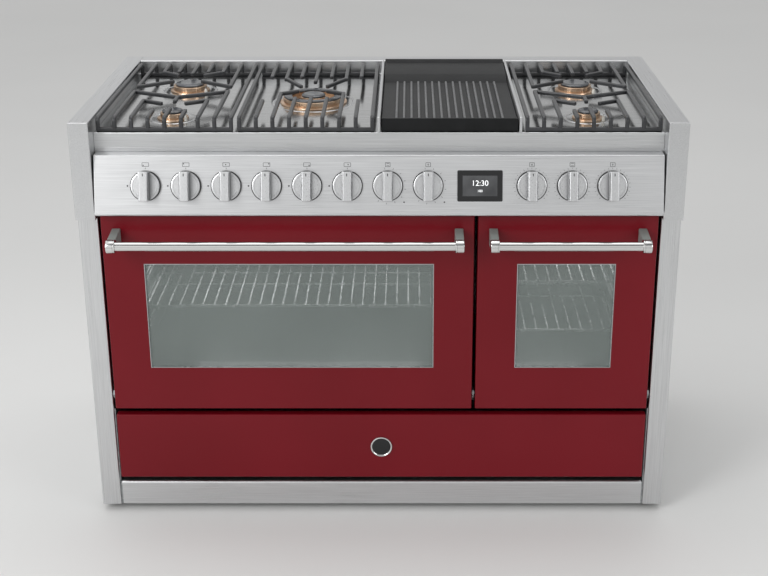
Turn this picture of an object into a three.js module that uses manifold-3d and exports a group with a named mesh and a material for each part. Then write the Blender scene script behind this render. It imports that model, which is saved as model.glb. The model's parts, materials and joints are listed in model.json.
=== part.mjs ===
// A free-standing range cooker: two ovens, a drawer, a gas hob with a griddle, and a sloping control panel.
//
// Millimetres. +X is to the right as seen from the front, +Y goes back and +Z is up, with the floor at Z 0.
// Inside the cooker group a depth is measured back from the front faces of the side rims. The group is then
// moved so that the origin is on the floor, under the middle of the overall box.
import * as THREE from 'three';
import { mergeVertices } from 'three/addons/utils/BufferGeometryUtils.js';
import Module from 'manifold-3d';

// ---- Driving dimensions ----

// The body
const width = 1200;
const bodyDepth = 600;
const pillarWidth = 40;
const rimHeight = 198;
const footHeight = 15;
const pillarSetback = 20;
const gap = 0.3; // between pieces that touch
const through = 5; // how far a cutter passes beyond a sheet
const sheet = 1.5; // panels
const stoutSheet = 2; // chassis and oven shells
const returnDepth = 40; // how far a pillar's side folds back

// The front, from the bottom up
const plinthHeight = 55;
const plinthSetback = 2; // behind the pillars
const plinthEndGap = 4;
const plinthRound = 6;
const plinthFlange = 30;
const plinthGap = 16;
const drawerFrontHeight = 148;
const drawerGap = 14;
const doorHeight = 425;
const doorTopGap = 7.5;
const panelSlope = 120;
const apronRise = 38;
const rimRise = 30.5;

// Doors and drawer
const doorSetback = 10;
const doorThickness = 42;
const doorSideGap = 6.5;
const doorGap = 7;
const rightDoorWidth = 358;
const windowMargin = 80;
const windowBottomMargin = 94;
const windowTopMargin = 102;
const glassThickness = 4;
const glassLap = 8;
const hingeRise = 28;
const hingePinRadius = 4;
const hingeClearance = 0.5;
const hingePinReach = 7;
const hingeEarThickness = 3;
const hingeEarRadius = 12;
const swingClearance = 2;
const handleReach = 60;
const handleDrop = 43;
const handleInset = 22;
const handleRadius = 9.3;
const ferruleRadius = 13.5;
const ferruleLength = 17.5;
const postHeight = 34;
const drawerFrontThickness = 18;
const drawerBoxHeight = 70;
const drawerBoxLift = 10;
const drawerBackGap = 40;
const runnerWidth = 14;
const runnerHeight = 12;
const runnerRise = 95;
const runnerGap = 3;
const badgeRadius = 23;
const badgeThickness = 4;
const badgeRing = 4;

// Control panel
const panelTilt = THREE.MathUtils.degToRad(15);
const panelOverhang = 17;
const panelEndGap = 3;
const panelUnderside = 36;
const knobInset = 101;
const knobRadius = 30;
const knobSkirt = 8;
const knobChamfer = 1.5;
const knobHeight = 32;
const gripWidth = 20;
const gripLength = 57;
const gripTopWidth = 15;
const shaftRadius = 3.5;
const boreRadius = 4;
const panelHoleRadius = 5;
const shaftEnd = 13;
const boreEnd = 16;
const displayWidth = 88.5;
const displayHeight = 61;
const displayProud = 2.5;
const displayLap = 3;
const displayBody = 20;
const displayClear = 27;
const gasKnobs = 6;
const tapSize = 26;
const tapDepth = 62;
const gasPipeRadius = 9;
const gasInletInset = 48;
const gasNutRadius = 14;
const gasNutLength = 17;
const gasPipeClearance = 3;
const switchSize = 38;
const switchDepth = 43;

// Hob
const apronSetback = 41;
const apronTuck = 12;
const rearRimDepth = 45;
const rearSkirt = 60;
const rimGap = 4;
const grateGap = 8;
const dividerWidth = 6;
const dividerGap = 6;
const griddleGap = 1.5;
const barSize = 8;
const legChamfer = 7;
const grateFrontGap = 6;
const grateRearGap = 18;
const frontBurnerBack = 111;
const rearBurnerForward = 165;
const wokBurnerBack = 245;
const spigotRadius = 18;
const spigotDepth = 10;
const spigotClearance = 0.6;
const burnerHeight = 13;
const smallCrownRadius = 25;
const smallCapRadius = 21;
const rearCrownRadius = 36;
const rearCapRadius = 31;
const wokCrownRadius = 64;
const wokCapRadius = 25;
const crownFlange = 7;
const crownBase = 4;
const wokRing = 18;
const wokChannel = 15;
const wokChannelFloor = 5;
const wokTaper = 2.5;
const capHeight = 5.5;
const capBevel = 4;
const smallFlame = 27; // radius kept clear of the fingers, round each kind of burner
const rearFlame = 39;
const wokFlame = 66;
const fingerStep = 15;
const armLap = 3;
const griddleFrontGap = 8;
const griddleRearGap = 4;
const griddleFaceDrop = 12;
const griddleFrontDrop = 4;
const griddleWall = 11;
const griddleSlope = 40;
const griddleShelf = 126;
const griddleShelfDrop = 2;
const griddleLip = 5;
const griddleRibs = 15;
const griddleRibPitch = 15;
const griddleRibWidth = 5;
const griddleRibHeight = 5;

// Ovens
const sealGap = 4;
const flangeWidth = 20;
const flangeEdgeGap = 1;
const skidWidth = 24;
const mouthMargin = 52;
const mouthTopMargin = 50;
const ovenBackGap = 73;
const deckDrop = 6;
const railBase = 54;
const railPitch = 55;
const railReach = 11;
const ladderBar = 5;
const rackSideGap = 3;
const rackFrontGap = 34;
const rackRearGap = 16;
const rackWire = 4;
const rackRim = 6;
const rackWirePitch = 49;
const fanCoverSize = 230;
const fanCoverDepth = 4;
const fanSlot = 8;

// Chassis and back
const backInset = 25;
const backRecess = 3; // the inlets' faces stand this far inside the rear rim
const chassisBackGap = 33;
const footInset = 60;
const footRadius = 22;
const terminalBoxWidth = 130;
const terminalBoxHeight = 90;

// ---- Levels, depths and widths that follow from them ----

const innerX = width / 2 - pillarWidth;
const pillarZ = footHeight;
const plinthTop = pillarZ + plinthHeight;
const drawerBottom = plinthTop + plinthGap;
const drawerTop = drawerBottom + drawerFrontHeight;
const doorBottom = drawerTop + drawerGap;
const doorTop = doorBottom + doorHeight;
const panelBottom = doorTop + doorTopGap;
const panelTop = panelBottom + panelSlope * Math.cos(panelTilt);
const hobZ = panelTop + apronRise;
const rimZ = hobZ + rimRise;
const rimBottom = rimZ - rimHeight;

const doorBack = doorSetback + doorThickness;
const pivot = { y: doorSetback + doorThickness / 2, z: doorBottom + hingeRise };
const swing = Math.hypot(doorThickness / 2, hingeRise) + swingClearance;
const handleY = doorSetback - handleReach;
const handleZ = doorTop - handleDrop;
const backY = bodyDepth - backInset;
const rearRimY = bodyDepth - rearRimDepth;

const leftDoor = { x0: -innerX + doorSideGap, x1: innerX - doorSideGap - rightDoorWidth - doorGap };
const rightDoor = { x0: innerX - doorSideGap - rightDoorWidth, x1: innerX - doorSideGap };
const doorSplit = (leftDoor.x1 + rightDoor.x0) / 2;

const chassis = {
  x: innerX - gap,
  y0: pillarSetback + plinthSetback + sheet + gap,
  y1: backY - sheet - chassisBackGap,
  top: doorBottom - deckDrop,
  deckFront: pivot.y + swing,
};

// ---- Shapes ----

const wasm = await Module();
wasm.setup();

// A closed geometry as a solid that can be joined and cut.
function solid(shape) {
  if (!shape.isBufferGeometry) return shape;
  const bare = new THREE.BufferGeometry().setAttribute('position', shape.attributes.position);
  if (shape.index) bare.setIndex(shape.index);
  const welded = mergeVertices(bare);
  const corners = welded.index.array;
  const kept = [];
  for (let i = 0; i < corners.length; i += 3) {
    const [a, b, c] = corners.subarray(i, i + 3);
    if (a !== b && b !== c && c !== a) kept.push(a, b, c);
  }
  const vertProperties = Float32Array.from(welded.attributes.position.array);
  return new wasm.Manifold(new wasm.Mesh({ numProp: 3, vertProperties, triVerts: Uint32Array.from(kept) }));
}

const join = (...shapes) => shapes.map(solid).reduce((whole, next) => whole.add(next));
const cut = (base, ...tools) => tools.map(solid).reduce((whole, tool) => whole.subtract(tool), solid(base));

function geometryOf(shape) {
  const { vertProperties, triVerts } = solid(shape).getMesh();
  const geometry = new THREE.BufferGeometry();
  geometry.setAttribute('position', new THREE.BufferAttribute(vertProperties, 3));
  geometry.setIndex(new THREE.BufferAttribute(triVerts, 1));
  return geometry;
}

function box(x0, x1, y0, y1, z0, z1) {
  const shape = new THREE.BoxGeometry(x1 - x0, y1 - y0, z1 - z0);
  return shape.translate((x0 + x1) / 2, (y0 + y1) / 2, (z0 + z1) / 2);
}

function extruded(outline, length) {
  const shape = new THREE.Shape(outline.map(([a, b]) => new THREE.Vector2(a, b)));
  return new THREE.ExtrudeGeometry(shape, { depth: length, bevelEnabled: false });
}

// Outlines of [x, y], [y, z] and [x, z] points, extruded along the third axis.
const alongZ = (outline, z0, z1) => extruded(outline, z1 - z0).translate(0, 0, z0);
const alongX = (outline, x0, x1) => {
  const cyclic = new THREE.Matrix4().set(0, 0, 1, x0, 1, 0, 0, 0, 0, 1, 0, 0, 0, 0, 0, 1);
  return extruded(outline, x1 - x0).applyMatrix4(cyclic);
};
const alongY = (outline, y0, y1) => extruded(outline, y1 - y0).rotateX(Math.PI / 2).translate(0, y1, 0);

// A round bar along an axis, from one coordinate to another on it.
function rod(axis, radius, from, to, [x, y, z], sides = 16) {
  const shape = new THREE.CylinderGeometry(radius, radius, to - from, sides).translate(0, (from + to) / 2, 0);
  if (axis === 'x') shape.rotateZ(-Math.PI / 2);
  if (axis === 'z') shape.rotateX(Math.PI / 2);
  return shape.translate(x, y, z);
}

// A profile of [radius, z] points turned about the Z axis.
function turned(profile, sides) {
  const points = profile.map(([r, z]) => new THREE.Vector2(r, z));
  return new THREE.LatheGeometry(points, sides).rotateX(Math.PI / 2);
}

// The outline of a folded sheet that follows a path, with its thickness to the left of the path.
function folded(path, thickness) {
  const left = ([a, b], [c, d]) => new THREE.Vector2(b - d, c - a).normalize();
  const inner = path.map((point, i) => {
    const before = left(path[Math.max(i, 1) - 1], path[Math.max(i, 1)]);
    const after = i < path.length - 1 ? left(point, path[i + 1]) : before;
    const mitre = before.clone().add(after).multiplyScalar(thickness / (1 + before.dot(after)));
    return [point[0] + mitre.x, point[1] + mitre.y];
  });
  return [...path, ...inner.reverse()];
}

// A level bar between two [x, y] points.
function levelBar([xa, ya], [xb, yb], z0, z1, thickness) {
  const length = Math.hypot(xb - xa, yb - ya);
  const shape = box(0, length, -thickness / 2, thickness / 2, z0, z1);
  return shape.rotateZ(Math.atan2(yb - ya, xb - xa)).translate(xa, ya, 0);
}

// ---- Materials ----

const finish = (color, roughness, metalness, extra = {}) =>
  new THREE.MeshStandardMaterial({ color, roughness, metalness, ...extra });
const brushedSteel = finish(0xc9c8c6, 0.34, 1);
const galvanised = finish(0x9a9c9d, 0.5, 0.9);
const chrome = finish(0xe4e4e2, 0.1, 1);
const redEnamel = finish(0x6e1822, 0.22, 0);
const ovenEnamel = finish(0x34363a, 0.3, 0);
const castIron = finish(0x4a4b4d, 0.6, 0.3);
const brass = finish(0xb08a4e, 0.3, 1);
const capEnamel = finish(0x2a2b2e, 0.35, 0);
const blackPlastic = finish(0x18181a, 0.45, 0);
const glass = finish(0x6d7672, 0.05, 0, { transparent: true, opacity: 0.4 });

// ---- The assembly ----

const cooker = new THREE.Group();
cooker.name = 'range_cooker';
const layout = new THREE.Group();
const frontY = handleY - ferruleRadius;
layout.position.y = -(frontY + bodyDepth) / 2;
cooker.add(layout);

function part(name, shape, material, parent = layout) {
  const mesh = new THREE.Mesh(geometryOf(shape), material);
  mesh.name = name;
  parent.add(mesh);
  return mesh;
}

// ---- Frame, panels and feet ----

function sidePanel(side) {
  const path = [
    [innerX, pillarSetback + returnDepth],
    [innerX, pillarSetback],
    [width / 2, pillarSetback],
    [width / 2, bodyDepth],
    [innerX, bodyDepth],
    [innerX, bodyDepth - returnDepth],
  ];
  const outline = folded(path, sheet).map(([x, y]) => [side * x, y]);
  return alongZ(outline, pillarZ, rimBottom - gap);
}

// A deep folded cap along each side of the hob, open underneath.
function sideRim(side) {
  const [x0, x1] = side > 0 ? [innerX, width / 2] : [-width / 2, -innerX];
  const outer = box(x0, x1, 0, bodyDepth, rimBottom, rimZ);
  const inner = box(x0 + sheet, x1 - sheet, sheet, bodyDepth - sheet, rimBottom - through, rimZ - sheet);
  return cut(outer, inner);
}

function foot() {
  const stem = footRadius * 0.4;
  const height = footHeight - gap;
  const profile = [[0, 0], [footRadius, 0], [footRadius, height / 3]];
  profile.push([stem, height / 2], [stem, height], [0, height]);
  return turned(profile, 12);
}

function hingeEar(x) {
  const [y, z] = [pivot.y, pivot.z];
  const nose = [0, 1, 2, 3, 4].map((i) => {
    const angle = Math.PI * (0.5 + i / 4);
    return [y + hingeEarRadius * Math.cos(angle), z + hingeEarRadius * Math.sin(angle)];
  });
  const foot = chassis.deckFront + hingeEarRadius;
  const outline = [[foot, z + hingeEarRadius], ...nose, [chassis.deckFront, z - hingeEarRadius]];
  outline.push([chassis.deckFront, chassis.top - stoutSheet], [foot, chassis.top - stoutSheet]);
  return alongX(outline, x - hingeEarThickness / 2, x + hingeEarThickness / 2);
}

const hingePin = (x0, x1) => rod('x', hingePinRadius, x0, x1, [0, pivot.y, pivot.z], 12);

// The box that carries the ovens, holds the drawer and stands on the feet, with the doors' hinge pins.
function chassisBox() {
  const { x, y0, y1, top, deckFront } = chassis;
  const inside = x - stoutSheet;
  const shell = cut(
    box(-x, x, y0, y1, pillarZ, top),
    box(-inside, inside, y0 - through, y1 - stoutSheet, pillarZ + stoutSheet, top - stoutSheet),
    box(-inside, inside, y0 - through, deckFront, top - through, top + through),
  );
  const lip = box(-x, x, y0, y0 + stoutSheet, pillarZ, plinthTop - 2 * stoutSheet);
  const runners = [-1, 1].map((side) => {
    const [a, b] = [side * inside, side * (inside - runnerWidth)];
    const z = pillarZ + runnerRise;
    return box(Math.min(a, b), Math.max(a, b), doorBack, y1, z, z + runnerHeight);
  });
  const reach = hingePinReach;
  const outerEar = innerX - doorSideGap / 2;
  const ears = [-outerEar, doorSplit, outerEar].map(hingeEar);
  const pins = [
    hingePin(-outerEar, leftDoor.x0 + reach),
    hingePin(leftDoor.x1 - reach, rightDoor.x0 + reach),
    hingePin(rightDoor.x1 - reach, outerEar),
  ];
  return join(shell, lip, ...runners, ...ears, ...pins);
}

function plinth() {
  const x = innerX - plinthEndGap;
  const y = pillarSetback + plinthSetback;
  const [round, cornerY] = [plinthRound, y + plinthRound];
  const path = [[y + plinthFlange, plinthTop], [cornerY, plinthTop]];
  path.push([y + round * 0.3, plinthTop - round * 0.3], [y, plinthTop - round], [y, pillarZ]);
  const front = alongX(folded(path, sheet), -x, x);
  const lipTop = plinthTop - 2 * stoutSheet + gap;
  return cut(front, box(-innerX, innerX, chassis.y0 - gap, cornerY + through, pillarZ - through, lipTop));
}

const gasInletX = -innerX + gasInletInset;
const panelMiddle = {
  y: -panelOverhang + (panelSlope / 2) * Math.sin(panelTilt),
  z: panelBottom + (panelSlope / 2) * Math.cos(panelTilt),
};
const gasPipe = {
  y: panelMiddle.y + tapDepth * Math.cos(panelTilt),
  z: panelMiddle.z - tapDepth * Math.sin(panelTilt),
};

function backPanel() {
  const x = innerX - gap;
  const flange = bodyDepth - backRecess;
  const path = [[-x, flange], [-x, backY - sheet], [x, backY - sheet], [x, flange]];
  const tray = alongZ(folded(path, sheet), pillarZ + plinthHeight, hobZ - stoutSheet - gap);
  const boxX = innerX - 2 * terminalBoxWidth;
  const boxZ = gasPipe.z - terminalBoxHeight;
  const housing = box(boxX, boxX + terminalBoxWidth, backY - sheet, flange, boxZ, boxZ + terminalBoxHeight);
  const hole = gasPipeRadius + gasPipeClearance;
  const pipeHole = rod('y', hole, backY - through, backY + through, [gasInletX, 0, gasPipe.z]);
  return cut(join(tray, housing), pipeHole);
}

for (const [name, side] of [['left', -1], ['right', 1]]) {
  part(`side_panel_${name}`, sidePanel(side), brushedSteel);
  part(`hob_side_rim_${name}`, sideRim(side), brushedSteel);
  for (const [end, y] of [['front', chassis.y0 + footInset], ['rear', chassis.y1 - footInset]]) {
    part(`foot_${end}_${name}`, foot(), blackPlastic).position.set(side * (innerX - footInset), y, 0);
  }
}
part('chassis', chassisBox(), galvanised);
part('plinth', plinth(), brushedSteel);
part('back_panel', backPanel(), galvanised);

// ---- Ovens ----

const ovenFront = doorBack + sealGap;
const mouthBottom = pivot.z + swing + flangeWidth;
const mouthTop = doorTop - mouthTopMargin;
const ovenBack = backY - ovenBackGap;
const mouthOf = (door) => ({ x0: door.x0 + mouthMargin, x1: door.x1 - mouthMargin });

function ovenCavity(door) {
  const { x0, x1 } = mouthOf(door);
  const wall = stoutSheet;
  const [left, right] = [door.x0 + flangeEdgeGap, door.x1 - flangeEdgeGap];
  const flange = box(left, right, ovenFront, ovenFront + wall, pivot.z + swing, doorTop - wall);
  const shell = box(x0 - wall, x1 + wall, ovenFront, ovenBack + wall, mouthBottom - wall, mouthTop + wall);
  const half = skidWidth / 2;
  const skids = [x0 + mouthMargin, x1 - mouthMargin].map((x) => {
    const [y0, y1] = [ovenFront + mouthMargin, ovenBack - mouthMargin];
    return box(x - half, x + half, y0, y1, chassis.top + gap, mouthBottom - wall / 2);
  });
  const inside = box(x0, x1, ovenFront - through, ovenBack, mouthBottom, mouthTop);
  return cut(join(flange, shell, ...skids), inside);
}

const railLevels = [0, 1, 2, 3].map((level) => mouthBottom + railBase + level * railPitch);

// Two wire side ladders joined by rods at the back of the oven.
function rackFrame(door) {
  const { x0, x1 } = mouthOf(door);
  const [y0, y1] = [ovenFront + 3 * ladderBar, ovenBack - 2 * ladderBar];
  const [z0, z1] = [mouthBottom + gap, railLevels[3] + ladderBar];
  const bars = [];
  for (const side of [-1, 1]) {
    const wall = side < 0 ? x0 + gap : x1 - gap;
    const span = (reach) => (side < 0 ? [wall, wall + reach] : [wall - reach, wall]);
    const posts = [y0, y1].map((y) => box(...span(ladderBar), y, y + ladderBar, z0, z1));
    const rails = railLevels.map((z) => box(...span(railReach), y0, y1 + ladderBar, z - ladderBar, z));
    bars.push(...posts, ...rails);
  }
  const rods = [z0, railLevels[3] - ladderBar].map((z) =>
    box(x0 + gap, x1 - gap, y1, y1 + ladderBar, z, z + ladderBar),
  );
  return join(...bars, ...rods);
}

// A rack that lies on the ladders' rails at one level, with its wires from front to back.
function ovenRack(door, level) {
  const mouth = mouthOf(door);
  const [x0, x1] = [mouth.x0 + ladderBar + rackSideGap, mouth.x1 - ladderBar - rackSideGap];
  const [y0, y1] = [ovenFront + rackFrontGap, ovenBack - rackRearGap];
  const z = railLevels[level] + gap;
  const rim = cut(
    box(x0, x1, y0, y1, z, z + rackRim),
    box(x0 + rackRim, x1 - rackRim, y0 + rackRim, y1 - rackRim, z - through, z + rackRim + through),
  );
  const count = Math.round((x1 - x0) / rackWirePitch) - 1;
  const wires = Array.from({ length: count }, (_, i) => {
    const x = x0 + ((x1 - x0) * (i + 1)) / (count + 1);
    const top = z + rackRim - rackWire / 8;
    return box(x - rackWire / 2, x + rackWire / 2, y0 + rackWire, y1 - rackWire, top - rackWire, top);
  });
  const middle = (y0 + y1 - rackWire) / 2;
  const stay = box(x0 + rackWire, x1 - rackWire, middle, middle + rackWire, z + rackWire / 8, z + rackWire * 0.8);
  return join(rim, stay, ...wires);
}

// A slotted cover over the main oven's fan.
function fanCover(door) {
  const { x0, x1 } = mouthOf(door);
  const [x, z, half] = [(x0 + x1) / 2, (mouthBottom + mouthTop) / 2, fanCoverSize / 2];
  const outline = Array.from({ length: 8 }, (_, i) => {
    const angle = ((i + 0.5) * Math.PI) / 4;
    const reach = half / Math.cos(Math.PI / 8);
    return [x + reach * Math.cos(angle), z + reach * Math.sin(angle)];
  });
  const slots = [-2, -1, 0, 1, 2].map((i) => {
    const middle = z + half * 0.22 * i;
    const [z0, z1] = [middle - fanSlot / 2, middle + fanSlot / 2];
    return box(x - half * 0.6, x + half * 0.6, ovenBack - through, ovenBack, z0, z1);
  });
  const dished = alongY(outline, ovenBack - gap - fanCoverDepth, ovenBack - gap);
  return cut(dished, ...slots);
}

for (const [name, door] of [['left', leftDoor], ['right', rightDoor]]) {
  part(`oven_cavity_${name}`, ovenCavity(door), ovenEnamel);
  part(`rack_frame_${name}`, rackFrame(door), chrome);
}
part('oven_rack_left', ovenRack(leftDoor, 1), chrome);
part('oven_rack_right_lower', ovenRack(rightDoor, 0), chrome);
part('oven_rack_right_upper', ovenRack(rightDoor, 2), chrome);
part('fan_cover', fanCover(leftDoor), ovenEnamel);

// ---- Doors ----

function doorSkin({ x0, x1 }) {
  const back = doorBack - sheet;
  const tray = cut(
    box(x0, x1, doorSetback, back, doorBottom, doorTop),
    box(x0 + sheet, x1 - sheet, doorSetback + sheet, doorBack, doorBottom + sheet, doorTop - sheet),
  );
  const opening = box(
    x0 + windowMargin, x1 - windowMargin, doorSetback - through, doorSetback + through,
    doorBottom + windowBottomMargin, doorTop - windowTopMargin,
  );
  const hole = hingePinRadius + hingeClearance;
  const pinHoles = rod('x', hole, x0 - through, x1 + through, [0, pivot.y, pivot.z], 16);
  return cut(tray, opening, pinHoles);
}

function windowGlass({ x0, x1 }) {
  const y = doorSetback + sheet + gap;
  const side = windowMargin - glassLap;
  const [z0, z1] = [doorBottom + windowBottomMargin - glassLap, doorTop - windowTopMargin + glassLap];
  return box(x0 + side, x1 - side, y, y + glassThickness, z0, z1);
}

// The pane that closes the back of the door and faces the oven.
function innerGlass({ x0, x1 }) {
  const edge = sheet + gap;
  const y1 = doorBack - sheet;
  return box(x0 + edge, x1 - edge, y1 - glassThickness, y1, doorBottom + edge, doorTop - edge);
}

function handle({ x0, x1 }) {
  const [left, right] = [x0 + handleInset, x1 - handleInset];
  const at = [0, handleY, handleZ];
  const bar = rod('x', handleRadius, left + ferruleLength / 2, right - ferruleLength / 2, at, 16);
  const ends = [left, right - ferruleLength].flatMap((x) => {
    const ferrule = rod('x', ferruleRadius, x, x + ferruleLength, at, 20);
    const foot = doorSetback - gap;
    const half = postHeight / 2;
    const outline = [[foot, handleZ - half], [foot, handleZ + half]];
    outline.push([handleY, handleZ + ferruleRadius * 0.8], [handleY, handleZ - ferruleRadius * 0.8]);
    return [ferrule, alongX(outline, x, x + ferruleLength)];
  });
  return join(bar, ...ends);
}

for (const [name, door] of [['left', leftDoor], ['right', rightDoor]]) {
  part(`door_skin_${name}`, doorSkin(door), redEnamel);
  part(`door_window_${name}`, windowGlass(door), glass);
  part(`door_inner_glass_${name}`, innerGlass(door), glass);
  part(`door_handle_${name}`, handle(door), chrome);
}

// ---- Drawer ----

const drawerX = innerX - doorSideGap;
const drawerBoxFront = doorSetback + drawerFrontThickness + gap;

function drawerFront() {
  return cut(
    box(-drawerX, drawerX, doorSetback, doorSetback + drawerFrontThickness, drawerBottom, drawerTop),
    box(
      -drawerX + sheet, drawerX - sheet, doorSetback + sheet, drawerBoxFront + through,
      drawerBottom + sheet, drawerTop - sheet,
    ),
  );
}

// An open-topped box. Its side flanges ride on the runners, and its front laps inside the drawer front.
function drawerBox() {
  const wall = chassis.x - stoutSheet;
  const x = wall - runnerWidth - runnerGap;
  const y0 = doorSetback + sheet + gap;
  const y1 = chassis.y1 - stoutSheet - drawerBackGap;
  const z0 = drawerBottom + drawerBoxLift;
  const tray = cut(
    box(-x, x, y0, y1, z0, z0 + drawerBoxHeight),
    box(-x + sheet, x - sheet, y0 + sheet, y1 - sheet, z0 + sheet, z0 + drawerBoxHeight + through),
  );
  const z = pillarZ + runnerRise + runnerHeight + gap;
  const out = wall - runnerGap;
  const flanges = [[-out, -x + sheet / 2], [x - sheet / 2, out]].map(([a, b]) =>
    box(a, b, doorBack, y1, z, z + sheet),
  );
  return join(tray, ...flanges);
}

// A plain round plate with a raised ring.
function badge() {
  const [r, ring, h] = [badgeRadius, badgeRing, badgeThickness];
  const profile = [[0, 0], [r, 0], [r, h * 0.7], [r - ring * 0.3, h], [r - ring * 0.8, h]];
  profile.push([r - ring, h * 0.6], [0, h * 0.6]);
  const plate = turned(profile, 24).rotateX(Math.PI / 2);
  return plate.translate(0, doorSetback - gap, (drawerBottom + drawerTop) / 2);
}

part('drawer_front', drawerFront(), redEnamel);
part('drawer_box', drawerBox(), galvanised);
part('drawer_badge', badge(), chrome);

// ---- Control panel ----

// Local X is to the right, local Y up the slope and local Z out of the panel's front face.
const panelFace = new THREE.Group();
panelFace.position.set(0, panelMiddle.y, panelMiddle.z);
panelFace.rotation.x = Math.PI / 2 - panelTilt;
layout.add(panelFace);
const ontoPanel = new THREE.Matrix4().makeRotationX(Math.PI / 2 - panelTilt);
ontoPanel.setPosition(0, panelMiddle.y, panelMiddle.z);

const panelX = innerX - panelEndGap;
const outerKnobX = panelX - knobInset;
const displaySlot = displayWidth + 2 * (knobRadius + displayClear);
const knobPitch = (2 * outerKnobX - displaySlot) / 9;
const leftKnobs = Array.from({ length: 8 }, (_, i) => -outerKnobX + i * knobPitch);
const rightKnobs = [2, 1, 0].map((i) => outerKnobX - i * knobPitch);
const knobXs = [...leftKnobs, ...rightKnobs];
const displayX = (leftKnobs[7] + rightKnobs[0]) / 2;
const panelBackZ = -sheet - gap;

function controlPanel() {
  const top = -panelOverhang + panelSlope * Math.sin(panelTilt);
  const path = [[apronSetback - gap, panelTop], [top, panelTop], [-panelOverhang, panelBottom]];
  path.push([-panelOverhang + panelUnderside, panelBottom]);
  const panel = alongX(folded(path, sheet), -panelX, panelX);
  const bore = (x) => rod('z', panelHoleRadius, -through, through, [x, 0, 0], 8);
  const holes = knobXs.map((x) => bore(x).applyMatrix4(ontoPanel));
  const [w, h] = [displayWidth / 2 - displayLap, displayHeight / 2 - displayLap];
  const slot = box(displayX - w, displayX + w, -h, h, -through, through).applyMatrix4(ontoPanel);
  return cut(panel, slot, ...holes);
}

function displayUnit() {
  const [w, h, inset] = [displayWidth / 2, displayHeight / 2, displayLap + gap];
  const bezel = box(-w, w, -h, h, gap, displayProud);
  const body = box(-w + inset, w - inset, -h + inset, h - inset, -displayBody, displayProud / 2);
  return join(bezel, body);
}

function knob() {
  const top = knobSkirt - knobChamfer;
  const profile = [[0, gap], [knobRadius, gap], [knobRadius, top]];
  profile.push([knobRadius - knobChamfer, knobSkirt], [0, knobSkirt]);
  const skirt = turned(profile, 20);
  const half = gripLength / 2;
  const [w, t] = [gripWidth / 2, gripTopWidth / 2];
  const shoulder = knobHeight - 2 * knobChamfer;
  const outline = [[-w, top], [w, top], [w, shoulder], [t, knobHeight], [-t, knobHeight], [-w, shoulder]];
  const grip = alongY(outline, -half, half);
  return cut(join(skirt, grip), rod('z', boreRadius, -through, boreEnd, [0, 0, 0], 8));
}

const shaft = (x, from) => rod('z', shaftRadius, from, shaftEnd, [x, 0, 0], 8).applyMatrix4(ontoPanel);

// A supply pipe across the front with a tap for each gas knob, and a run to the inlet at the back.
function gasManifold() {
  const { y, z } = gasPipe;
  const taps = knobXs.slice(0, gasKnobs);
  const half = tapSize / 2;
  const valves = taps.flatMap((x) => [
    box(x - half, x + half, -half, half, -tapDepth, panelBackZ).applyMatrix4(ontoPanel),
    shaft(x, -tapSize),
  ]);
  const pipe = rod('x', gasPipeRadius, gasInletX - gasPipeRadius, taps.at(-1) + tapSize, [0, y, z], 8);
  const end = bodyDepth - backRecess;
  const run = rod('y', gasPipeRadius, y, end, [gasInletX, 0, z], 8);
  const nut = rod('y', gasNutRadius, end - gasNutLength, end, [gasInletX, 0, z], 6);
  return join(pipe, run, nut, ...valves);
}

// A strip behind the panel that carries the switches and thermostats of the ovens.
function switchRail() {
  const xs = knobXs.slice(gasKnobs);
  const half = switchSize / 2;
  const strip = box(xs[0] - half, xs.at(-1) + half, -half, half, -switchDepth - stoutSheet, -switchDepth);
  const bodies = xs.flatMap((x) => [
    box(x - half, x + half, -half, half, -switchDepth - stoutSheet / 2, panelBackZ).applyMatrix4(ontoPanel),
    shaft(x, -switchDepth / 2),
  ]);
  return join(strip.applyMatrix4(ontoPanel), ...bodies);
}

part('control_panel', controlPanel(), brushedSteel);
part('gas_manifold', gasManifold(), brass);
part('switch_rail', switchRail(), galvanised);
part('display_unit', displayUnit(), blackPlastic, panelFace).position.x = displayX;
knobXs.forEach((x, i) => {
  part(`knob_${String(i + 1).padStart(2, '0')}`, knob(), brushedSteel, panelFace).position.x = x;
});

// ---- Hob ----

const unitWidth = (2 * (innerX - rimGap - dividerGap - dividerWidth - griddleGap) - grateGap) / 4;
const rightGrateX = innerX - rimGap - unitWidth;
const griddleX = rightGrateX - dividerGap - dividerWidth - griddleGap - unitWidth;
const middleGrateX = griddleX - griddleGap - dividerWidth - dividerGap - unitWidth;
const leftGrateX = -innerX + rimGap;
const grateY0 = apronSetback + grateFrontGap;
const grateY1 = rearRimY - grateRearGap;
const frontBurnerY = apronSetback + frontBurnerBack;
const rearBurnerY = rearRimY - rearBurnerForward;
const wokBurnerY = apronSetback + wokBurnerBack;

const smallBurner = { y: frontBurnerY, crown: smallCrownRadius, cap: smallCapRadius };
const rearBurner = { y: rearBurnerY, crown: rearCrownRadius, cap: rearCapRadius };
const wokBurner = { y: wokBurnerY, crown: wokCrownRadius, cap: wokCapRadius };
const burners = [
  { name: 'front_left', x: leftGrateX + unitWidth / 2, ...smallBurner },
  { name: 'rear_left', x: leftGrateX + unitWidth / 2, ...rearBurner },
  { name: 'wok', x: middleGrateX + unitWidth / 2, ...wokBurner },
  { name: 'front_right', x: rightGrateX + unitWidth / 2, ...smallBurner },
  { name: 'rear_right', x: rightGrateX + unitWidth / 2, ...rearBurner },
];

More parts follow.
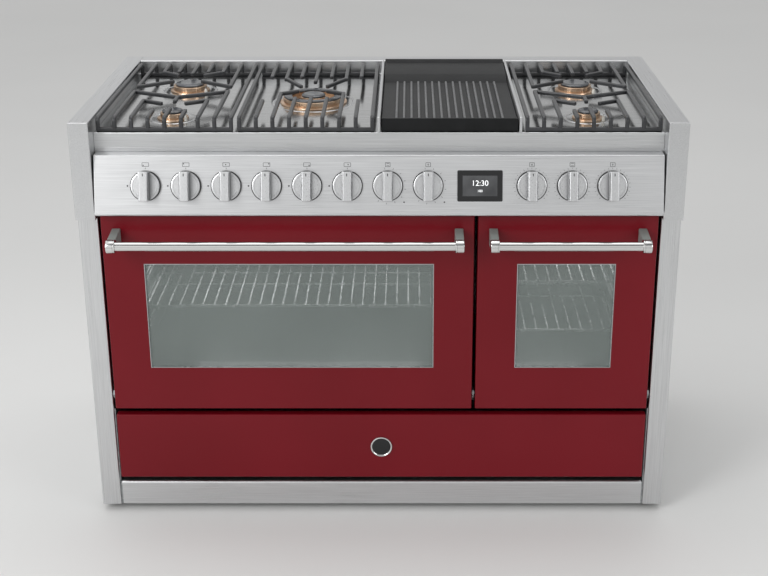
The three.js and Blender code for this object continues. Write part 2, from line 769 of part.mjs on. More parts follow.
// One folded sheet: the apron, the cooking surface and the raised rim along the back, with a strip on each
// side of the griddle.
function hobTop() {
  const x = innerX - gap;
  const path = [[apronSetback, panelTop - apronTuck], [apronSetback, hobZ], [rearRimY, hobZ]];
  path.push([rearRimY, rimZ], [bodyDepth, rimZ], [bodyDepth, hobZ - rearSkirt]);
  const top = alongX(folded(path.reverse(), sheet), -x, x);
  const strips = [griddleX - griddleGap - dividerWidth, rightGrateX - dividerGap - dividerWidth].map((x0) =>
    box(x0, x0 + dividerWidth, apronSetback + grateFrontGap / 2, rearRimY + sheet / 2, hobZ - sheet / 2, rimZ),
  );
  const hole = spigotRadius + spigotClearance;
  const holes = burners.map(({ x: at, y }) => rod('z', hole, hobZ - through, hobZ + through, [at, y, 0], 20));
  return cut(join(top, ...strips), ...holes);
}

function burnerCrown({ name, crown }) {
  const z = hobZ + gap;
  const top = z + burnerHeight;
  const profile = [[0, hobZ - spigotDepth], [spigotRadius, hobZ - spigotDepth], [spigotRadius, z]];
  profile.push([crown + crownFlange, z], [crown + crownFlange * 0.85, z + crownBase * 0.75]);
  profile.push([crown, z + crownBase], [crown, top]);
  if (name !== 'wok') return turned([...profile, [0, top]], 20);
  const [ring, channel] = [crown - wokRing, crown - wokRing - wokChannel];
  profile.push([ring, top], [ring - wokTaper, z + wokChannelFloor]);
  profile.push([channel, z + wokChannelFloor], [channel - wokTaper, top], [0, top]);
  return turned(profile, 28);
}

function burnerCap({ cap }) {
  const z = hobZ + burnerHeight + 2 * gap;
  const top = z + capHeight;
  return turned([[0, z], [cap, z], [cap, z + capHeight / 2], [cap - capBevel, top], [0, top]], 20);
}

const barTop = rimZ;
const barBottom = rimZ - barSize;
const fingerPitch = (unitWidth - barSize) / 8;

// One bar of a grate: a leg that stands on the hob, bent over at the top into a finger that ends at a depth.
function finger(x, legY, endY) {
  const inward = Math.sign(endY - legY);
  const c = legChamfer;
  const b = barSize;
  const outline = [[0, hobZ + gap], [0, barTop - c], [c, barTop], [Math.abs(endY - legY), barTop]];
  outline.push([Math.abs(endY - legY), barBottom], [b + c / 2, barBottom]);
  outline.push([b, barBottom - c / 2], [b, hobZ + gap]);
  return alongX(outline.map(([along, z]) => [legY + inward * along, z]), x, x + b);
}

// A cast pan support: the outer fingers run from front to back, and the others end short of the burners.
function grate(x0, frontEnds, rearEnds, arms) {
  const bars = [];
  for (let i = 0; i <= 8; i += 1) {
    const x = x0 + i * fingerPitch;
    const outer = i % 8 === 0;
    const middle = (grateY0 + grateY1) / 2;
    bars.push(finger(x, grateY0, outer ? middle + gap : frontEnds[i - 1]));
    bars.push(finger(x, grateY1, outer ? middle - gap : rearEnds[i - 1]));
  }
  for (const y of [grateY0, grateY1 - barSize]) {
    bars.push(box(x0, x0 + unitWidth, y, y + barSize, hobZ + gap, hobZ + gap + barSize));
  }
  const centre = x0 + unitWidth / 2;
  for (const [from, to] of arms) {
    for (const side of [-1, 1]) {
      const ends = [from, to].map(([x, y]) => [centre + side * x, y]);
      bars.push(levelBar(...ends, barBottom, barTop, barSize));
    }
  }
  return join(...bars);
}

// The ends of the seven inner fingers, from those of the outermost one to the middle one.
const mirroredEnds = (list) => [...list, ...list.slice(0, -1).reverse()];

function twinGrate(x0) {
  const [f, r, p] = [frontBurnerY, rearBurnerY, fingerPitch];
  const bridge = (f + r) / 2;
  const [side, wide] = [smallFlame + fingerStep, rearFlame + fingerStep];
  const front = [bridge, f + side, f - side, f - smallFlame];
  const rear = [bridge + rearFlame, r + wide, r + wide, r + rearFlame];
  return grate(x0, mirroredEnds(front), mirroredEnds(rear), [
    [[2 * p, front[1] - armLap], [smallFlame * 0.85, f + smallFlame / 2]],
    [[3 * p, front[0] - armLap], [-barSize / 4, f + wokFlame]],
    [[0, f + wokFlame + armLap], [0, f + smallFlame]],
    [[3 * p, rear[0] + armLap], [smallFlame * 1.1, r - smallFlame]],
    [[2 * p, rear[1] + armLap], [smallFlame, r + smallFlame]],
  ]);
}

function wokGrate(x0) {
  const [w, p] = [wokBurnerY, fingerPitch];
  const [side, wide] = [wokFlame / 2, wokFlame + 3 * fingerStep];
  const front = [w - wokFlame - 2 * fingerStep, w - side, w - wokFlame - barSize, w - wokFlame];
  const rear = [w + wide, w + wide - fingerStep, w + wide, w + wokFlame];
  return grate(x0, mirroredEnds(front), mirroredEnds(rear), [
    [[2 * p, front[1] - armLap], [smallFlame * 1.1, w - smallFlame / 2]],
    [[2 * p, rear[1] + armLap], [smallFlame, w + smallFlame]],
  ]);
}

// A cast plate with ribs over the heated part, a sloping shelf behind them and a raised lip at the back.
function griddle() {
  const [x0, x1] = [griddleX, griddleX + unitWidth];
  const [y0, y1] = [apronSetback + griddleFrontGap, rearRimY - griddleRearGap];
  const [low, under, face] = [hobZ + gap, hobZ + barSize, rimZ - griddleFaceDrop];
  const [front, lip, wall] = [rimZ - griddleFrontDrop, rimZ + griddleLip, griddleWall];
  const [slope0, slope1] = [y1 - griddleShelf - griddleSlope, y1 - griddleShelf];
  const outline = [[y0, low], [y0, front], [y0 + wall * 0.6, front], [y0 + wall, face], [slope0, face]];
  outline.push([slope1, rimZ - griddleShelfDrop], [y1 - wall, rimZ], [y1 - wall / 2, lip]);
  outline.push([y1, lip], [y1, low]);
  outline.push([y1 - wall, low], [y1 - wall, under], [y0 + wall, under], [y0 + wall, low]);
  const plate = alongX(outline, x0, x1);
  const first = (x0 + x1 - (griddleRibs - 1) * griddleRibPitch) / 2;
  const ribs = Array.from({ length: griddleRibs }, (_, i) => {
    const [x, top] = [first + i * griddleRibPitch, face + griddleRibHeight];
    const half = griddleRibWidth / 2;
    const root = face - gap;
    const section = [[x - half, root], [x + half, root], [x + half * 0.4, top], [x - half * 0.4, top]];
    return alongY(section, y0 + wall + griddleRibHeight, slope0 - griddleRibHeight);
  });
  return join(plate, ...ribs);
}

part('hob_top', hobTop(), brushedSteel);
for (const burner of burners) {
  part(`burner_crown_${burner.name}`, burnerCrown(burner), brass).position.set(burner.x, burner.y, 0);
  part(`burner_cap_${burner.name}`, burnerCap(burner), capEnamel).position.set(burner.x, burner.y, 0);
}
part('grate_left', twinGrate(leftGrateX), castIron);
part('grate_middle', wokGrate(middleGrateX), castIron);
part('grate_right', twinGrate(rightGrateX), castIron);
part('griddle', griddle(), castIron);

export default cooker;
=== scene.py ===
# %% [markdown]
# # A range cooker with two ovens
#
# The object is a free-standing cooker: a stainless steel body, a gas hob with cast iron grates and a
# griddle, a sloping control panel, two enamelled oven doors and a drawer. This lesson dresses its
# engineering model. The model comes as a fixed frame of named solids, so every piece here takes its
# place and its size from them.

# %% Load the frame
import json
import math
from types import SimpleNamespace

import bmesh
import bpy
from mathutils import Matrix, Vector
from mathutils.bvhtree import BVHTree

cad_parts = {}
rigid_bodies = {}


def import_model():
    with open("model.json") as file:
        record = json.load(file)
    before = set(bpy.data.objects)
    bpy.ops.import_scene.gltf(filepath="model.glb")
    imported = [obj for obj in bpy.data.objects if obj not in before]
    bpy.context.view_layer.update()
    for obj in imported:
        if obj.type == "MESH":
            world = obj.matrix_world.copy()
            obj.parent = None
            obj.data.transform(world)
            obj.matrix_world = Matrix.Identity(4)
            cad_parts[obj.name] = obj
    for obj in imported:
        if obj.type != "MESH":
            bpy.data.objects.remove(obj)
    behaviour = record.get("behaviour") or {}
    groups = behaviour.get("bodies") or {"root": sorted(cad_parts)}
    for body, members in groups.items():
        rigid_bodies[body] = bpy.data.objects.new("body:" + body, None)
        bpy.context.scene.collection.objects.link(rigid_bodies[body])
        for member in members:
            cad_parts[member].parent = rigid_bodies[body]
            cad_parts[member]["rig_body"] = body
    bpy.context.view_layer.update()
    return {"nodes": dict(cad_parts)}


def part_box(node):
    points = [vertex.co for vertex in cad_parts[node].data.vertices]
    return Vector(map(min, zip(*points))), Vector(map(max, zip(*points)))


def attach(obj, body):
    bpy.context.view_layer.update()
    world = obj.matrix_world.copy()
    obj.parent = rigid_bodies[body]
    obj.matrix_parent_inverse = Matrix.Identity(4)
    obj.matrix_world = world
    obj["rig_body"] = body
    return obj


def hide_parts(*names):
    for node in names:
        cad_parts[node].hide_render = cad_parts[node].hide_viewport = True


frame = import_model()
mm = 0.001
print("solids:", len(frame["nodes"]))

# %% [markdown]
# ## Reading sizes from the frame
#
# Each solid has a box. Its six sides, with short names, are enough to place nearly everything that
# follows. A few levels and depths are shared by many pieces, so they are read once.


# %% Boxes and shared levels
def box(node):
    low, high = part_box(node)
    middle = (low + high) / 2
    return SimpleNamespace(
        x0=low.x, x1=high.x, y0=low.y, y1=high.y, z0=low.z, z1=high.z, x=middle.x, y=middle.y, z=middle.z
    )


panel = box("control_panel")
hob = box("hob_top")
touch = 0.3 * mm
hob_level = box("grate_left").z0 - touch
grate_level = box("grate_left").z1
front = box("hob_side_rim_left").y0
print("hob at", round(hob_level, 4), "grates' top at", round(grate_level, 4))

# %% [markdown]
# ## The camera
#
# The photograph was taken from a little above the hob, 2.57 m in front of it and 60 mm right of the
# middle. It was a level camera with a strong shift. Here the camera stands at the same place and mostly
# tilts down instead, because a big shift would push the cooker out of the frame in every other view.
# The numbers that start with photo are in pixels of the photograph, and the margin makes up for what
# the tilt takes off the edges.

# %% Camera
photo_width = 768
photo_height = 576
photo_focal = 1307
axis_column = 409.8
horizon_row = -235.7
distance = 2.566
camera_right = 0.060
camera_height = 1.548
small_shift = 30
sensor = 36
margin = 0.985

centre_angle = math.atan((photo_height / 2 - horizon_row) / photo_focal)
tilt = centre_angle - math.atan(small_shift / photo_focal)
camera_data = bpy.data.cameras.new("photo_camera")
camera_data.sensor_width = sensor
camera_data.lens = sensor * photo_focal / photo_width / math.cos(tilt) * margin
camera_data.shift_x = -(axis_column - photo_width / 2) / photo_width
camera_data.shift_y = -small_shift / photo_width
camera = bpy.data.objects.new("photo_camera", camera_data)
camera.location = (camera_right, front - distance, camera_height)
camera.rotation_euler = (math.pi / 2 - tilt, 0, 0)
bpy.context.scene.collection.objects.link(camera)
bpy.context.scene.camera = camera
print("camera tilts", round(math.degrees(tilt), 1), "degrees, lens", round(camera_data.lens, 1), "mm")

# %% [markdown]
# ## Colours and nodes
#
# Colours are written as sRGB hex values, as a paint chart gives them, and one function turns them to
# the linear values that the renderer works in. One more function adds a node, sets it and links it.


# %% Colours as hex values
def linear(code):
    parts = [int(code[i:i + 2], 16) / 255 for i in (1, 3, 5)]
    return (*[c / 12.92 if c <= 0.04045 else ((c + 0.055) / 1.055) ** 2.4 for c in parts], 1.0)


def shaded(code, factor):
    return "#" + "".join(f"{min(255, int(int(code[i:i + 2], 16) * factor)):02X}" for i in (1, 3, 5))


print("the middle grey #808080 is", round(linear("#808080")[0], 3), "in linear light")


# %% One function that adds any node
# A socket takes a value or another node's output. Feeds link the new node's outputs on to other sockets.
def add_node(tree, kind, sockets=None, feeds=None, **settings):
    node = tree.nodes.new(kind)
    for name, value in settings.items():
        setattr(node, name, value)
    for key, value in (sockets or {}).items():
        if isinstance(value, bpy.types.NodeSocket):
            tree.links.new(value, node.inputs[key])
        else:
            node.inputs[key].default_value = value
    for key, target in (feeds or {}).items():
        tree.links.new(node.outputs[key], target)
    return node


print("every node below comes from", add_node.__name__)

# %% [markdown]
# ## Patterns on a surface
#
# No real surface has one flat colour. Each finish starts as a plain shader and then gets patterns,
# whose grain is given as a real size. One pattern can vary the colour, the roughness and the height
# together, as a scratch does. The patterns read Object coordinates, so they stay on the piece when it
# moves.


# %% Finishes and patterns
def start_finish(name, sockets):
    material = bpy.data.materials.new(name)
    material.use_nodes = True
    tree = material.node_tree
    surface = tree.nodes["Principled BSDF"]
    for key, value in sockets.items():
        surface.inputs[key].default_value = value
    place = add_node(tree, "ShaderNodeTexCoord").outputs["Object"]
    return material, tree, surface, place


# Soft, cloudy noise. The size of its blobs is one length, or one for each of X, Y and Z.
def cloud(tree, place, size, detail=2.0, roughness=0.5):
    sizes = size if isinstance(size, list) else [size] * 3
    sockets = {"Vector": place, "Scale": [1 / length for length in sizes]}
    stretched = add_node(tree, "ShaderNodeMapping", sockets).outputs[0]
    sockets = {"Vector": stretched, "Scale": 1.0, "Detail": detail, "Roughness": roughness}
    return add_node(tree, "ShaderNodeTexNoise", sockets).outputs["Fac"]


# Most of a cloud's values lie between these two, so they are stretched to the finish's own limits.
cloud_limits = (0.3, 0.7)


# Lets a pattern vary the colour, the roughness and the height. A bump is a height and a strength.
def vary(tree, surface, pattern, colours=None, roughness=None, bump=None, limits=cloud_limits):
    stretch = {"Value": pattern, "From Min": limits[0], "From Max": limits[1]}
    if colours:
        share = add_node(tree, "ShaderNodeMapRange", stretch).outputs["Result"]
        sockets = {"Factor": share, 6: linear(colours[0]), 7: linear(colours[1])}
        add_node(tree, "ShaderNodeMix", sockets, {2: surface.inputs["Base Color"]}, data_type="RGBA")
    if roughness:
        sockets = {**stretch, "To Min": roughness[0], "To Max": roughness[1]}
        add_node(tree, "ShaderNodeMapRange", sockets, {"Result": surface.inputs["Roughness"]})
    if bump:
        sockets = {"Height": pattern, "Distance": bump[0], "Strength": bump[1]}
        add_node(tree, "ShaderNodeBump", sockets, {"Normal": surface.inputs["Normal"]})


print("a pattern's values are read between", cloud_limits)

# %% [markdown]
# ## Brushed stainless steel
#
# The body is folded from 1.5 mm stainless sheet with a satin finish. A belt of about 180 grit drags
# fine scratches along the sheet, a tenth of a millimetre apart. That is too fine to show here, so the
# lines are drawn about a millimetre apart and very faint. Along the grain they run for about a hundred
# millimetres. Wide, weak patches stand for the slight waviness of rolled sheet. A noise that is
# stretched along the grain draws the scratches. A picture of steel would do too, but it would repeat
# across so large a body and blur close up.

# %% Brushed stainless steel, for each direction of the grain
grain_pitch = 1.1 * mm
grain_length = 110 * mm
patch = 260 * mm
patch_change = (-0.02, 0.03)


# The grain varies colour, height and roughness, and the patches add a little to the roughness.
def brushed_steel(name, axis, colours=("#C6C7C8", "#D9DADB"), roughness=(0.27, 0.36)):
    material, tree, surface, place = start_finish(name, {"Metallic": 1.0})
    size = [grain_pitch] * 3
    size["XYZ".index(axis)] = grain_length
    grain = cloud(tree, place, size, detail=3.0, roughness=0.6)
    vary(tree, surface, grain, colours, bump=(0.012 * mm, 0.6))
    parts = []
    for pattern, (low, high) in ((grain, roughness), (cloud(tree, place, patch), patch_change)):
        sockets = {"Value": pattern, "From Min": cloud_limits[0], "From Max": cloud_limits[1]}
        sockets.update({"To Min": low, "To Max": high})
        parts.append(add_node(tree, "ShaderNodeMapRange", sockets).outputs["Result"])
    add_node(tree, "ShaderNodeMath", {0: parts[0], 1: parts[1]}, {0: surface.inputs["Roughness"]})
    return material


# Faint long lines and a soft sheen, in the three directions that the belt ran.
steel_along = brushed_steel("stainless_brushed_along", "X")
steel_upright = brushed_steel("stainless_brushed_upright", "Z")
steel_back = brushed_steel("stainless_brushed_front_to_back", "Y")

# Painted dark reflection: the flanks of the knobs' grips are coloured nearly black, beside their bright
# edges, for the dark that they reflect.
steel_painted_dark_reflection = brushed_steel("stainless_painted_dark_reflection", "Z", ("#434448", "#505155"))

# The hob's middle keeps the mill's bright annealed surface: smoother, with clear reflections that a
# darker colour dims; that darker colour is painted shade from the grates above it.
hob_steel_painted_shade = brushed_steel("stainless_bright_annealed_painted_shade", "X", ("#B2B3B3", "#D0D1D1"), (0.10, 0.17))
print("brushed steel grain:", round(grain_pitch / mm, 1), "mm apart")

# %% [markdown]
# ## Polished steel, chrome and machined brass
#
# The handles are polished stainless tube: nearly a mirror, with faint polishing haze. The oven racks
# are bright chrome on wire. The burner crowns are turned brass, so fine rings from the lathe tool catch
# the light. A perfect mirror would look artificial, so the roughness changes a little from place to
# place, and a very low bump keeps reflections from being quite straight.

# %% Polished steel, chrome, brass
# Polishing marks and the lathe's rings are hundredths of a millimetre apart, which is too fine to show.
# So they are drawn this coarse.
polish_marks = 2 * mm
heat_patch = 30 * mm
lathe_marks = [0.9 * mm, 0.9 * mm, 0.4 * mm]


def polished_metal(name, colour, roughness, haze=40 * mm):
    sockets = {"Metallic": 1.0, "Base Color": linear(colour)}
    material, tree, surface, place = start_finish(name, sockets)
    vary(tree, surface, cloud(tree, place, haze), roughness=(roughness * 0.85, roughness * 1.2))
    vary(tree, surface, cloud(tree, place, polish_marks), bump=(0.004 * mm, 0.4))
    return material


def turned_brass():
    material, tree, surface, place = start_finish("brass_turned", {"Metallic": 1.0})
    vary(tree, surface, cloud(tree, place, heat_patch), ("#CBA98C", "#E4CBB2"))
    vary(tree, surface, cloud(tree, place, lathe_marks), roughness=(0.24, 0.38), bump=(0.02 * mm, 0.5))
    return material


# Nearly a mirror: light and dark lines run along the tubes.
polished_steel = polished_metal("stainless_polished", "#DADAD9", 0.11, 300 * mm)

# Bright, but soft enough that thin wires shine evenly.
chrome_wire = polished_metal("chrome_plated_wire", "#D9DADB", 0.26)

# A cool, slightly dull silver on the small parts.
bright_zinc = polished_metal("zinc_plated_steel", "#B9BCBE", 0.3)

# Steel that has often been red hot: brownish grey and dull.
heater_sheath = polished_metal("heater_sheath_oxidised", "#6B665F", 0.45)

# Warm and pale, with a satin glint.
brass = turned_brass()
print("bright metals: polished steel, chrome, zinc, heater sheath, brass")

# %% [markdown]
# ## Galvanised steel
#
# Hidden sheet metal, such as the back and the drawer box, is hot-dip galvanised. Zinc crystals leave a
# spangle of flat patches 6 to 12 mm across, each with a slightly different grey. A Voronoi pattern has
# just that look.

# %% Galvanised steel
spangle = 9 * mm
zinc_grain = 0.8 * mm


# Flat grey crystals, some lighter and smoother than others.
def galvanised_steel():
    material, tree, surface, place = start_finish("steel_galvanised", {"Metallic": 1.0})
    sockets = {"Vector": place, "Scale": 1 / spangle}
    crystal = add_node(tree, "ShaderNodeTexVoronoi", sockets).outputs["Color"]
    shade = add_node(tree, "ShaderNodeSeparateColor", {0: crystal}).outputs[0]
    vary(tree, surface, shade, ("#8E9294", "#B4B7B8"), (0.36, 0.52), limits=(0, 1))
    vary(tree, surface, cloud(tree, place, zinc_grain), bump=(0.02 * mm, 0.4))
    return material


galvanised = galvanised_steel()
print("zinc spangle:", round(spangle / mm), "mm")

# %% [markdown]
# ## Enamel
#
# The doors and the drawer have a deep burgundy enamel with a soft gloss. Sprayed enamel settles with a
# faint orange peel, a millimetre or two across, that breaks up reflections. The ovens inside have black
# glass enamel with light specks. The grates have a satin dark grey enamel over cast iron, and the
# griddle is matt and nearly black; its ribs are coloured paler, a painted highlight along their crests.
# The burner caps are glossy and mirror the bright sky, which makes them look greyer than they are. Each
# is one shader with one or two patterns: enamel is a single layer, and its gloss says more than its
# colour.

# %% Enamels
# The grain of the casting sand is a few tenths of a millimetre, which is too fine to show. It is drawn
# about a millimetre coarse.
grate_grit, griddle_grit, cap_grit = 1.3 * mm, 1.2 * mm, 0.8 * mm
orange_peel = 2.2 * mm
speck_spacing = 3.5 * mm
oven_ripple = 3 * mm
door_patch = 320 * mm
casting_patch = 35 * mm


def burgundy_enamel():
    sockets = {"Roughness": 0.34, "Coat Weight": 0.1, "Coat Roughness": 0.12, "Specular IOR Level": 0.2}
    material, tree, surface, place = start_finish("enamel_burgundy", sockets)
    vary(tree, surface, cloud(tree, place, door_patch), ("#670512", "#6F0917"))
    vary(tree, surface, cloud(tree, place, orange_peel, detail=1.0), bump=(0.012 * mm, 0.5))
    return material


def oven_enamel():
    sockets = {"Roughness": 0.24, "Coat Weight": 0.3, "Coat Roughness": 0.1}
    material, tree, surface, place = start_finish("enamel_oven_black", sockets)
    sockets = {"Vector": place, "Scale": 1 / speck_spacing, "Randomness": 1.0}
    specks = add_node(tree, "ShaderNodeTexVoronoi", sockets).outputs["Distance"]
    vary(tree, surface, specks, ("#8C9195", "#2C2F33"), limits=(0.10, 0.16))
    vary(tree, surface, cloud(tree, place, oven_ripple), bump=(0.02 * mm, 0.5))
    return material


def cast_enamel(name, colours, roughness, grit, shine=0.6):
    material, tree, surface, place = start_finish(name, {"Specular IOR Level": shine})
    sand = cloud(tree, place, grit, detail=4.0, roughness=0.6)
    vary(tree, surface, sand, roughness=(roughness - 0.07, roughness + 0.08), bump=(0.10 * mm, 0.7))
    vary(tree, surface, cloud(tree, place, casting_patch), colours)
    return material


# Deep red with a soft gloss.
door_enamel = burgundy_enamel()

# Glassy black with light specks that hide stains.
cavity_enamel = oven_enamel()

# Satin dark grey, slightly rough from the sand mould.
grate_iron = cast_enamel("cast_iron_grey_enamel", ("#252628", "#323336"), 0.33, grate_grit)

# Nearly black, with little shine.
griddle_iron = cast_enamel("cast_iron_dark_enamel", ("#131415", "#1A1B1C"), 0.42, griddle_grit, 0.2)

# The same iron, smoother, with the ribs coloured paler: a painted highlight along their crests.
rib_iron_painted_highlight = cast_enamel("cast_iron_ribs_painted_highlight", ("#47484A", "#5A5B5C"), 0.32, griddle_grit, 0.4)

# Dark, glossy and a little wavy, so that the sky lies on it as a grey sheen.
cap_enamel = cast_enamel("burner_cap_enamel", ("#3A3C40", "#46494E"), 0.2, cap_grit, 0.9)
print("enamels: doors, ovens, grates, griddle, ribs, burner caps")

# %% [markdown]
# ## Glass, plastic, ink and ceramic
#
# The door panes are 4 mm float glass with a grey metal-oxide tint that hides most of the oven. Their
# colour is that tint made paler by a painted reflection of the bright room, and an alpha of about a half
# gives that veil and survives export better than true refraction. The display and the feet are moulded
# plastic. The handles' brackets are coloured silver grey, a painted reflection of their metal. The marks
# on the panel are dark ink, printed through a screen.


# %% Glass
tint_patch = 180 * mm


def window_glass(name, colour, alpha, roughness=0.04):
    sockets = {"Roughness": roughness, "Alpha": alpha, "IOR": 1.52, "Specular IOR Level": 0.5}
    material, tree, surface, place = start_finish(name, sockets)
    vary(tree, surface, cloud(tree, place, tint_patch), (shaded(colour, 0.94), colour))
    return material


# A grey veil: the glass's tint, made paler by a painted reflection of the room. The racks show faintly
# through it, and the room lies on it.
tinted_glass_painted_reflection = window_glass("glass_tinted_painted_reflection", "#8A9390", 0.46)

# Almost nothing to see but a slight green.
clear_glass = window_glass("glass_clear", "#9AA39E", 0.14)

# A milky lens.
lamp_glass = window_glass("glass_lamp_lens", "#D8D6CC", 0.75, 0.2)
print("glass: tinted, clear and milky")

# %% Plastic, lacquer, glaze and ink
# A moulded grain and a screen's weave are about 0.2 mm, too fine to show, so they are drawn this coarse.
moulded_grain = 0.9 * mm
screen_weave = 0.7 * mm


def moulded_plastic(name, colour, roughness, texture=moulded_grain):
    material, tree, surface, place = start_finish(name, {"Base Color": linear(colour)})
    limits = (roughness - 0.05, roughness + 0.05)
    vary(tree, surface, cloud(tree, place, texture), roughness=limits, bump=(0.03 * mm, 0.4))
    return material


def printed_ink(name, colour):
    material, tree, surface, place = start_finish(name, {"Roughness": 0.55})
    vary(tree, surface, cloud(tree, place, screen_weave), (colour, shaded(colour, 1.25)))
    return material


# Satin silver grey, darker than the polished tube beside it: a painted reflection, the grey that the
# brackets' metal mirrors, given as their colour.
bracket_grey_painted_reflection = moulded_plastic("bracket_silver_grey_painted_reflection", "#858B88", 0.4)

# Soft black with a fine grain.
black_plastic = moulded_plastic("plastic_black_moulded", "#1B1B1D", 0.42)

# Deep black with clear reflections.
gloss_black = moulded_plastic("acrylic_black_gloss", "#101113", 0.12, 3 * mm)

# Warm white with a soft shine.
ceramic = moulded_plastic("ceramic_white_glazed", "#DAD7CF", 0.28)

# Flat dark grey, and flat black fired into the glass.
panel_ink = printed_ink("ink_dark_grey", "#2A2B2D")
frit_black = printed_ink("ceramic_frit_black", "#17181A")
print("plastics, lacquer and glaze: 4, inks: 2")


# %% Seal, digits and screen
# A wave texture repeats about three times in this length, so the strands are 3 mm apart.
braid = 9 * mm
digit_grain = 0.5 * mm
screen_patch = 40 * mm


# Dark and light strands of the braid cross the seal.
def glass_fibre_seal():
    material, tree, surface, place = start_finish("glass_fibre_braid", {"Roughness": 0.8})
    sockets = {"Vector": place, "Scale": 1 / braid, "Distortion": 1.2, "Detail": 1.0}
    strands = add_node(tree, "ShaderNodeTexWave", sockets, bands_direction="DIAGONAL").outputs["Fac"]
    vary(tree, surface, strands, ("#3A3B3D", "#6E7072"), bump=(0.3 * mm, 0.8), limits=(0, 1))
    return material


# White that glows a little, enough to read it in daylight.
def glowing_digits():
    white = linear("#F2F4F5")
    sockets = {"Base Color": white, "Emission Color": white, "Emission Strength": 0.55}
    material, tree, surface, place = start_finish("display_digits", sockets)
    vary(tree, surface, cloud(tree, place, digit_grain), roughness=(0.35, 0.5))
    return material


# Smooth dark grey, lighter in places as if the light behind it leaks.
def dark_screen():
    material, tree, surface, place = start_finish("display_screen", {"Roughness": 0.14})
    vary(tree, surface, cloud(tree, place, screen_patch), ("#38393B", "#515254"))
    return material


seal_braid = glass_fibre_seal()
digits_light = glowing_digits()
screen_glass = dark_screen()
print("finishes:", len(bpy.data.materials))

# %% [markdown]
# ## Mesh helpers
#
# Shapes are built as bmesh outlines: prisms for folded and cut sheet, and turned profiles for round
# pieces. Real edges are never perfectly sharp, so a last bevel gives each edge a small round that
# catches the light. The shapes could also be pushed and pulled by hand, but outlines keep every size as
# a number that can be checked.


# %% From a mesh to a piece
edge_angle = 35


def put(name, mesh, material):
    mesh.name = name
    mesh.materials.clear()
    mesh.materials.append(material)
    mesh.shade_smooth()
    mesh.set_sharp_from_angle(angle=math.radians(edge_angle))
    piece = bpy.data.objects.new(name, mesh)
    bpy.context.scene.collection.objects.link(piece)
    piece.modifiers.new("even_shading", "WEIGHTED_NORMAL").keep_sharp = True
    return piece


print("edges are shaded sharp above", edge_angle, "degrees")

# %% Between bmesh and mesh, and rounded edges
edge_strips = 3


def mesh_of(bm):
    mesh = bpy.data.meshes.new("shape")
    bm.to_mesh(mesh)
    bm.free()
    return mesh


def bmesh_of(mesh):
    bm = bmesh.new()
    bm.from_mesh(mesh)
    return bm


def round_edges(bm, width, segments=edge_strips, angle=edge_angle, keep=lambda edge: True):
    limit = math.radians(angle)
    sharp = [e for e in bm.edges if e.is_manifold and e.calc_face_angle(0) > limit and keep(e)]
    bmesh.ops.bevel(
        bm, geom=sharp, offset=width, segments=segments, profile=0.5, affect="EDGES", clamp_overlap=True
    )
    return bm


print("strips in a rounded edge:", edge_strips)


# %% Prisms and blocks
# A closed prism of a flat outline. The outline lies across the axis, in the order Y Z, Z X or X Y.
def prism(outline, axis, start, end, edge, segments=edge_strips, angle=edge_angle):
    bm = bmesh.new()
    order = {"X": (1, 2, 0), "Y": (2, 0, 1), "Z": (0, 1, 2)}[axis]
    rows = []
    for along in (start, end):
        corners = []
        for a, b in outline:
            point = [0.0, 0.0, 0.0]
            point[order[0]] = a
            point[order[1]] = b
            point[order[2]] = along
            corners.append(bm.verts.new(point))
        rows.append(corners)
    bm.faces.new(list(reversed(rows[0])))
    bm.faces.new(rows[1])
    for i in range(len(outline)):
        j = (i + 1) % len(outline)
        bm.faces.new((rows[0][i], rows[0][j], rows[1][j], rows[1][i]))
    bmesh.ops.recalc_face_normals(bm, faces=bm.faces)
    return round_edges(bm, edge, segments, angle)


def block(x0, x1, y0, y1, z0, z1, edge, segments=edge_strips):
    return prism([(x0, y0), (x1, y0), (x1, y1), (x0, y1)], "Z", z0, z1, edge, segments)


bar_sample = block(0, 100 * mm, 0, 10 * mm, 0, 10 * mm, 1 * mm)
print("faces of a bar with rounded edges:", len(bar_sample.faces))
bar_sample.free()

# %% Turned shapes
on_axis = 1e-7


# A shape turned about Z from a profile of radius and height. Its open ends are closed with flat faces.
def turned(profile, steps=48):
    bm = bmesh.new()
    rings = []
    turns = [2 * math.pi * i / steps for i in range(steps)]
    for radius, height in profile:
        round_points = [(radius * math.cos(a), radius * math.sin(a)) for a in turns]
        points = round_points if radius > on_axis else [(0, 0)]
        rings.append([bm.verts.new((x, y, height)) for x, y in points])
    for first, second in zip(rings, rings[1:]):
        for i in range(steps):
            j = (i + 1) % steps
            corners = [first[i % len(first)], first[j % len(first)]]
            corners += [second[j % len(second)], second[i % len(second)]]
            unique = list(dict.fromkeys(corners))
            if len(unique) > 2:
                bm.faces.new(unique)
    if profile[0] == profile[-1]:
        bmesh.ops.remove_doubles(bm, verts=bm.verts, dist=on_axis)
    else:
        for ring in (rings[0], rings[-1]):
            if len(ring) > 1:
                bm.faces.new(ring)
    bmesh.ops.recalc_face_normals(bm, faces=bm.faces)
    return bm


cone_sample = turned([(0, 0), (10 * mm, 0), (0, 20 * mm)])
print("faces of a turned cone:", len(cone_sample.faces))
cone_sample.free()

# %% Moving and joining shapes, dressing solids
weld = 0.01 * mm


def moved(bm, matrix):
    bmesh.ops.transform(bm, matrix=matrix, verts=bm.verts)
    return bm


def shifted(bm, x=0.0, y=0.0, z=0.0):
    return moved(bm, Matrix.Translation((x, y, z)))


def joined(*shapes):
    whole = bmesh.new()
    for bm in shapes:
        whole.from_mesh(mesh_of(bm))
    return whole


# Puts a piece on the body of the solid that it belongs to, and hides the solids that it stands for.
def fit(piece, solid, slot, *hidden):
    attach(piece, frame["nodes"][solid]["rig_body"])
    if hidden:
        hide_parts(*hidden)
    return piece


def refinish(node, material):
    for slot in frame["nodes"][node].material_slots:
        slot.material = material


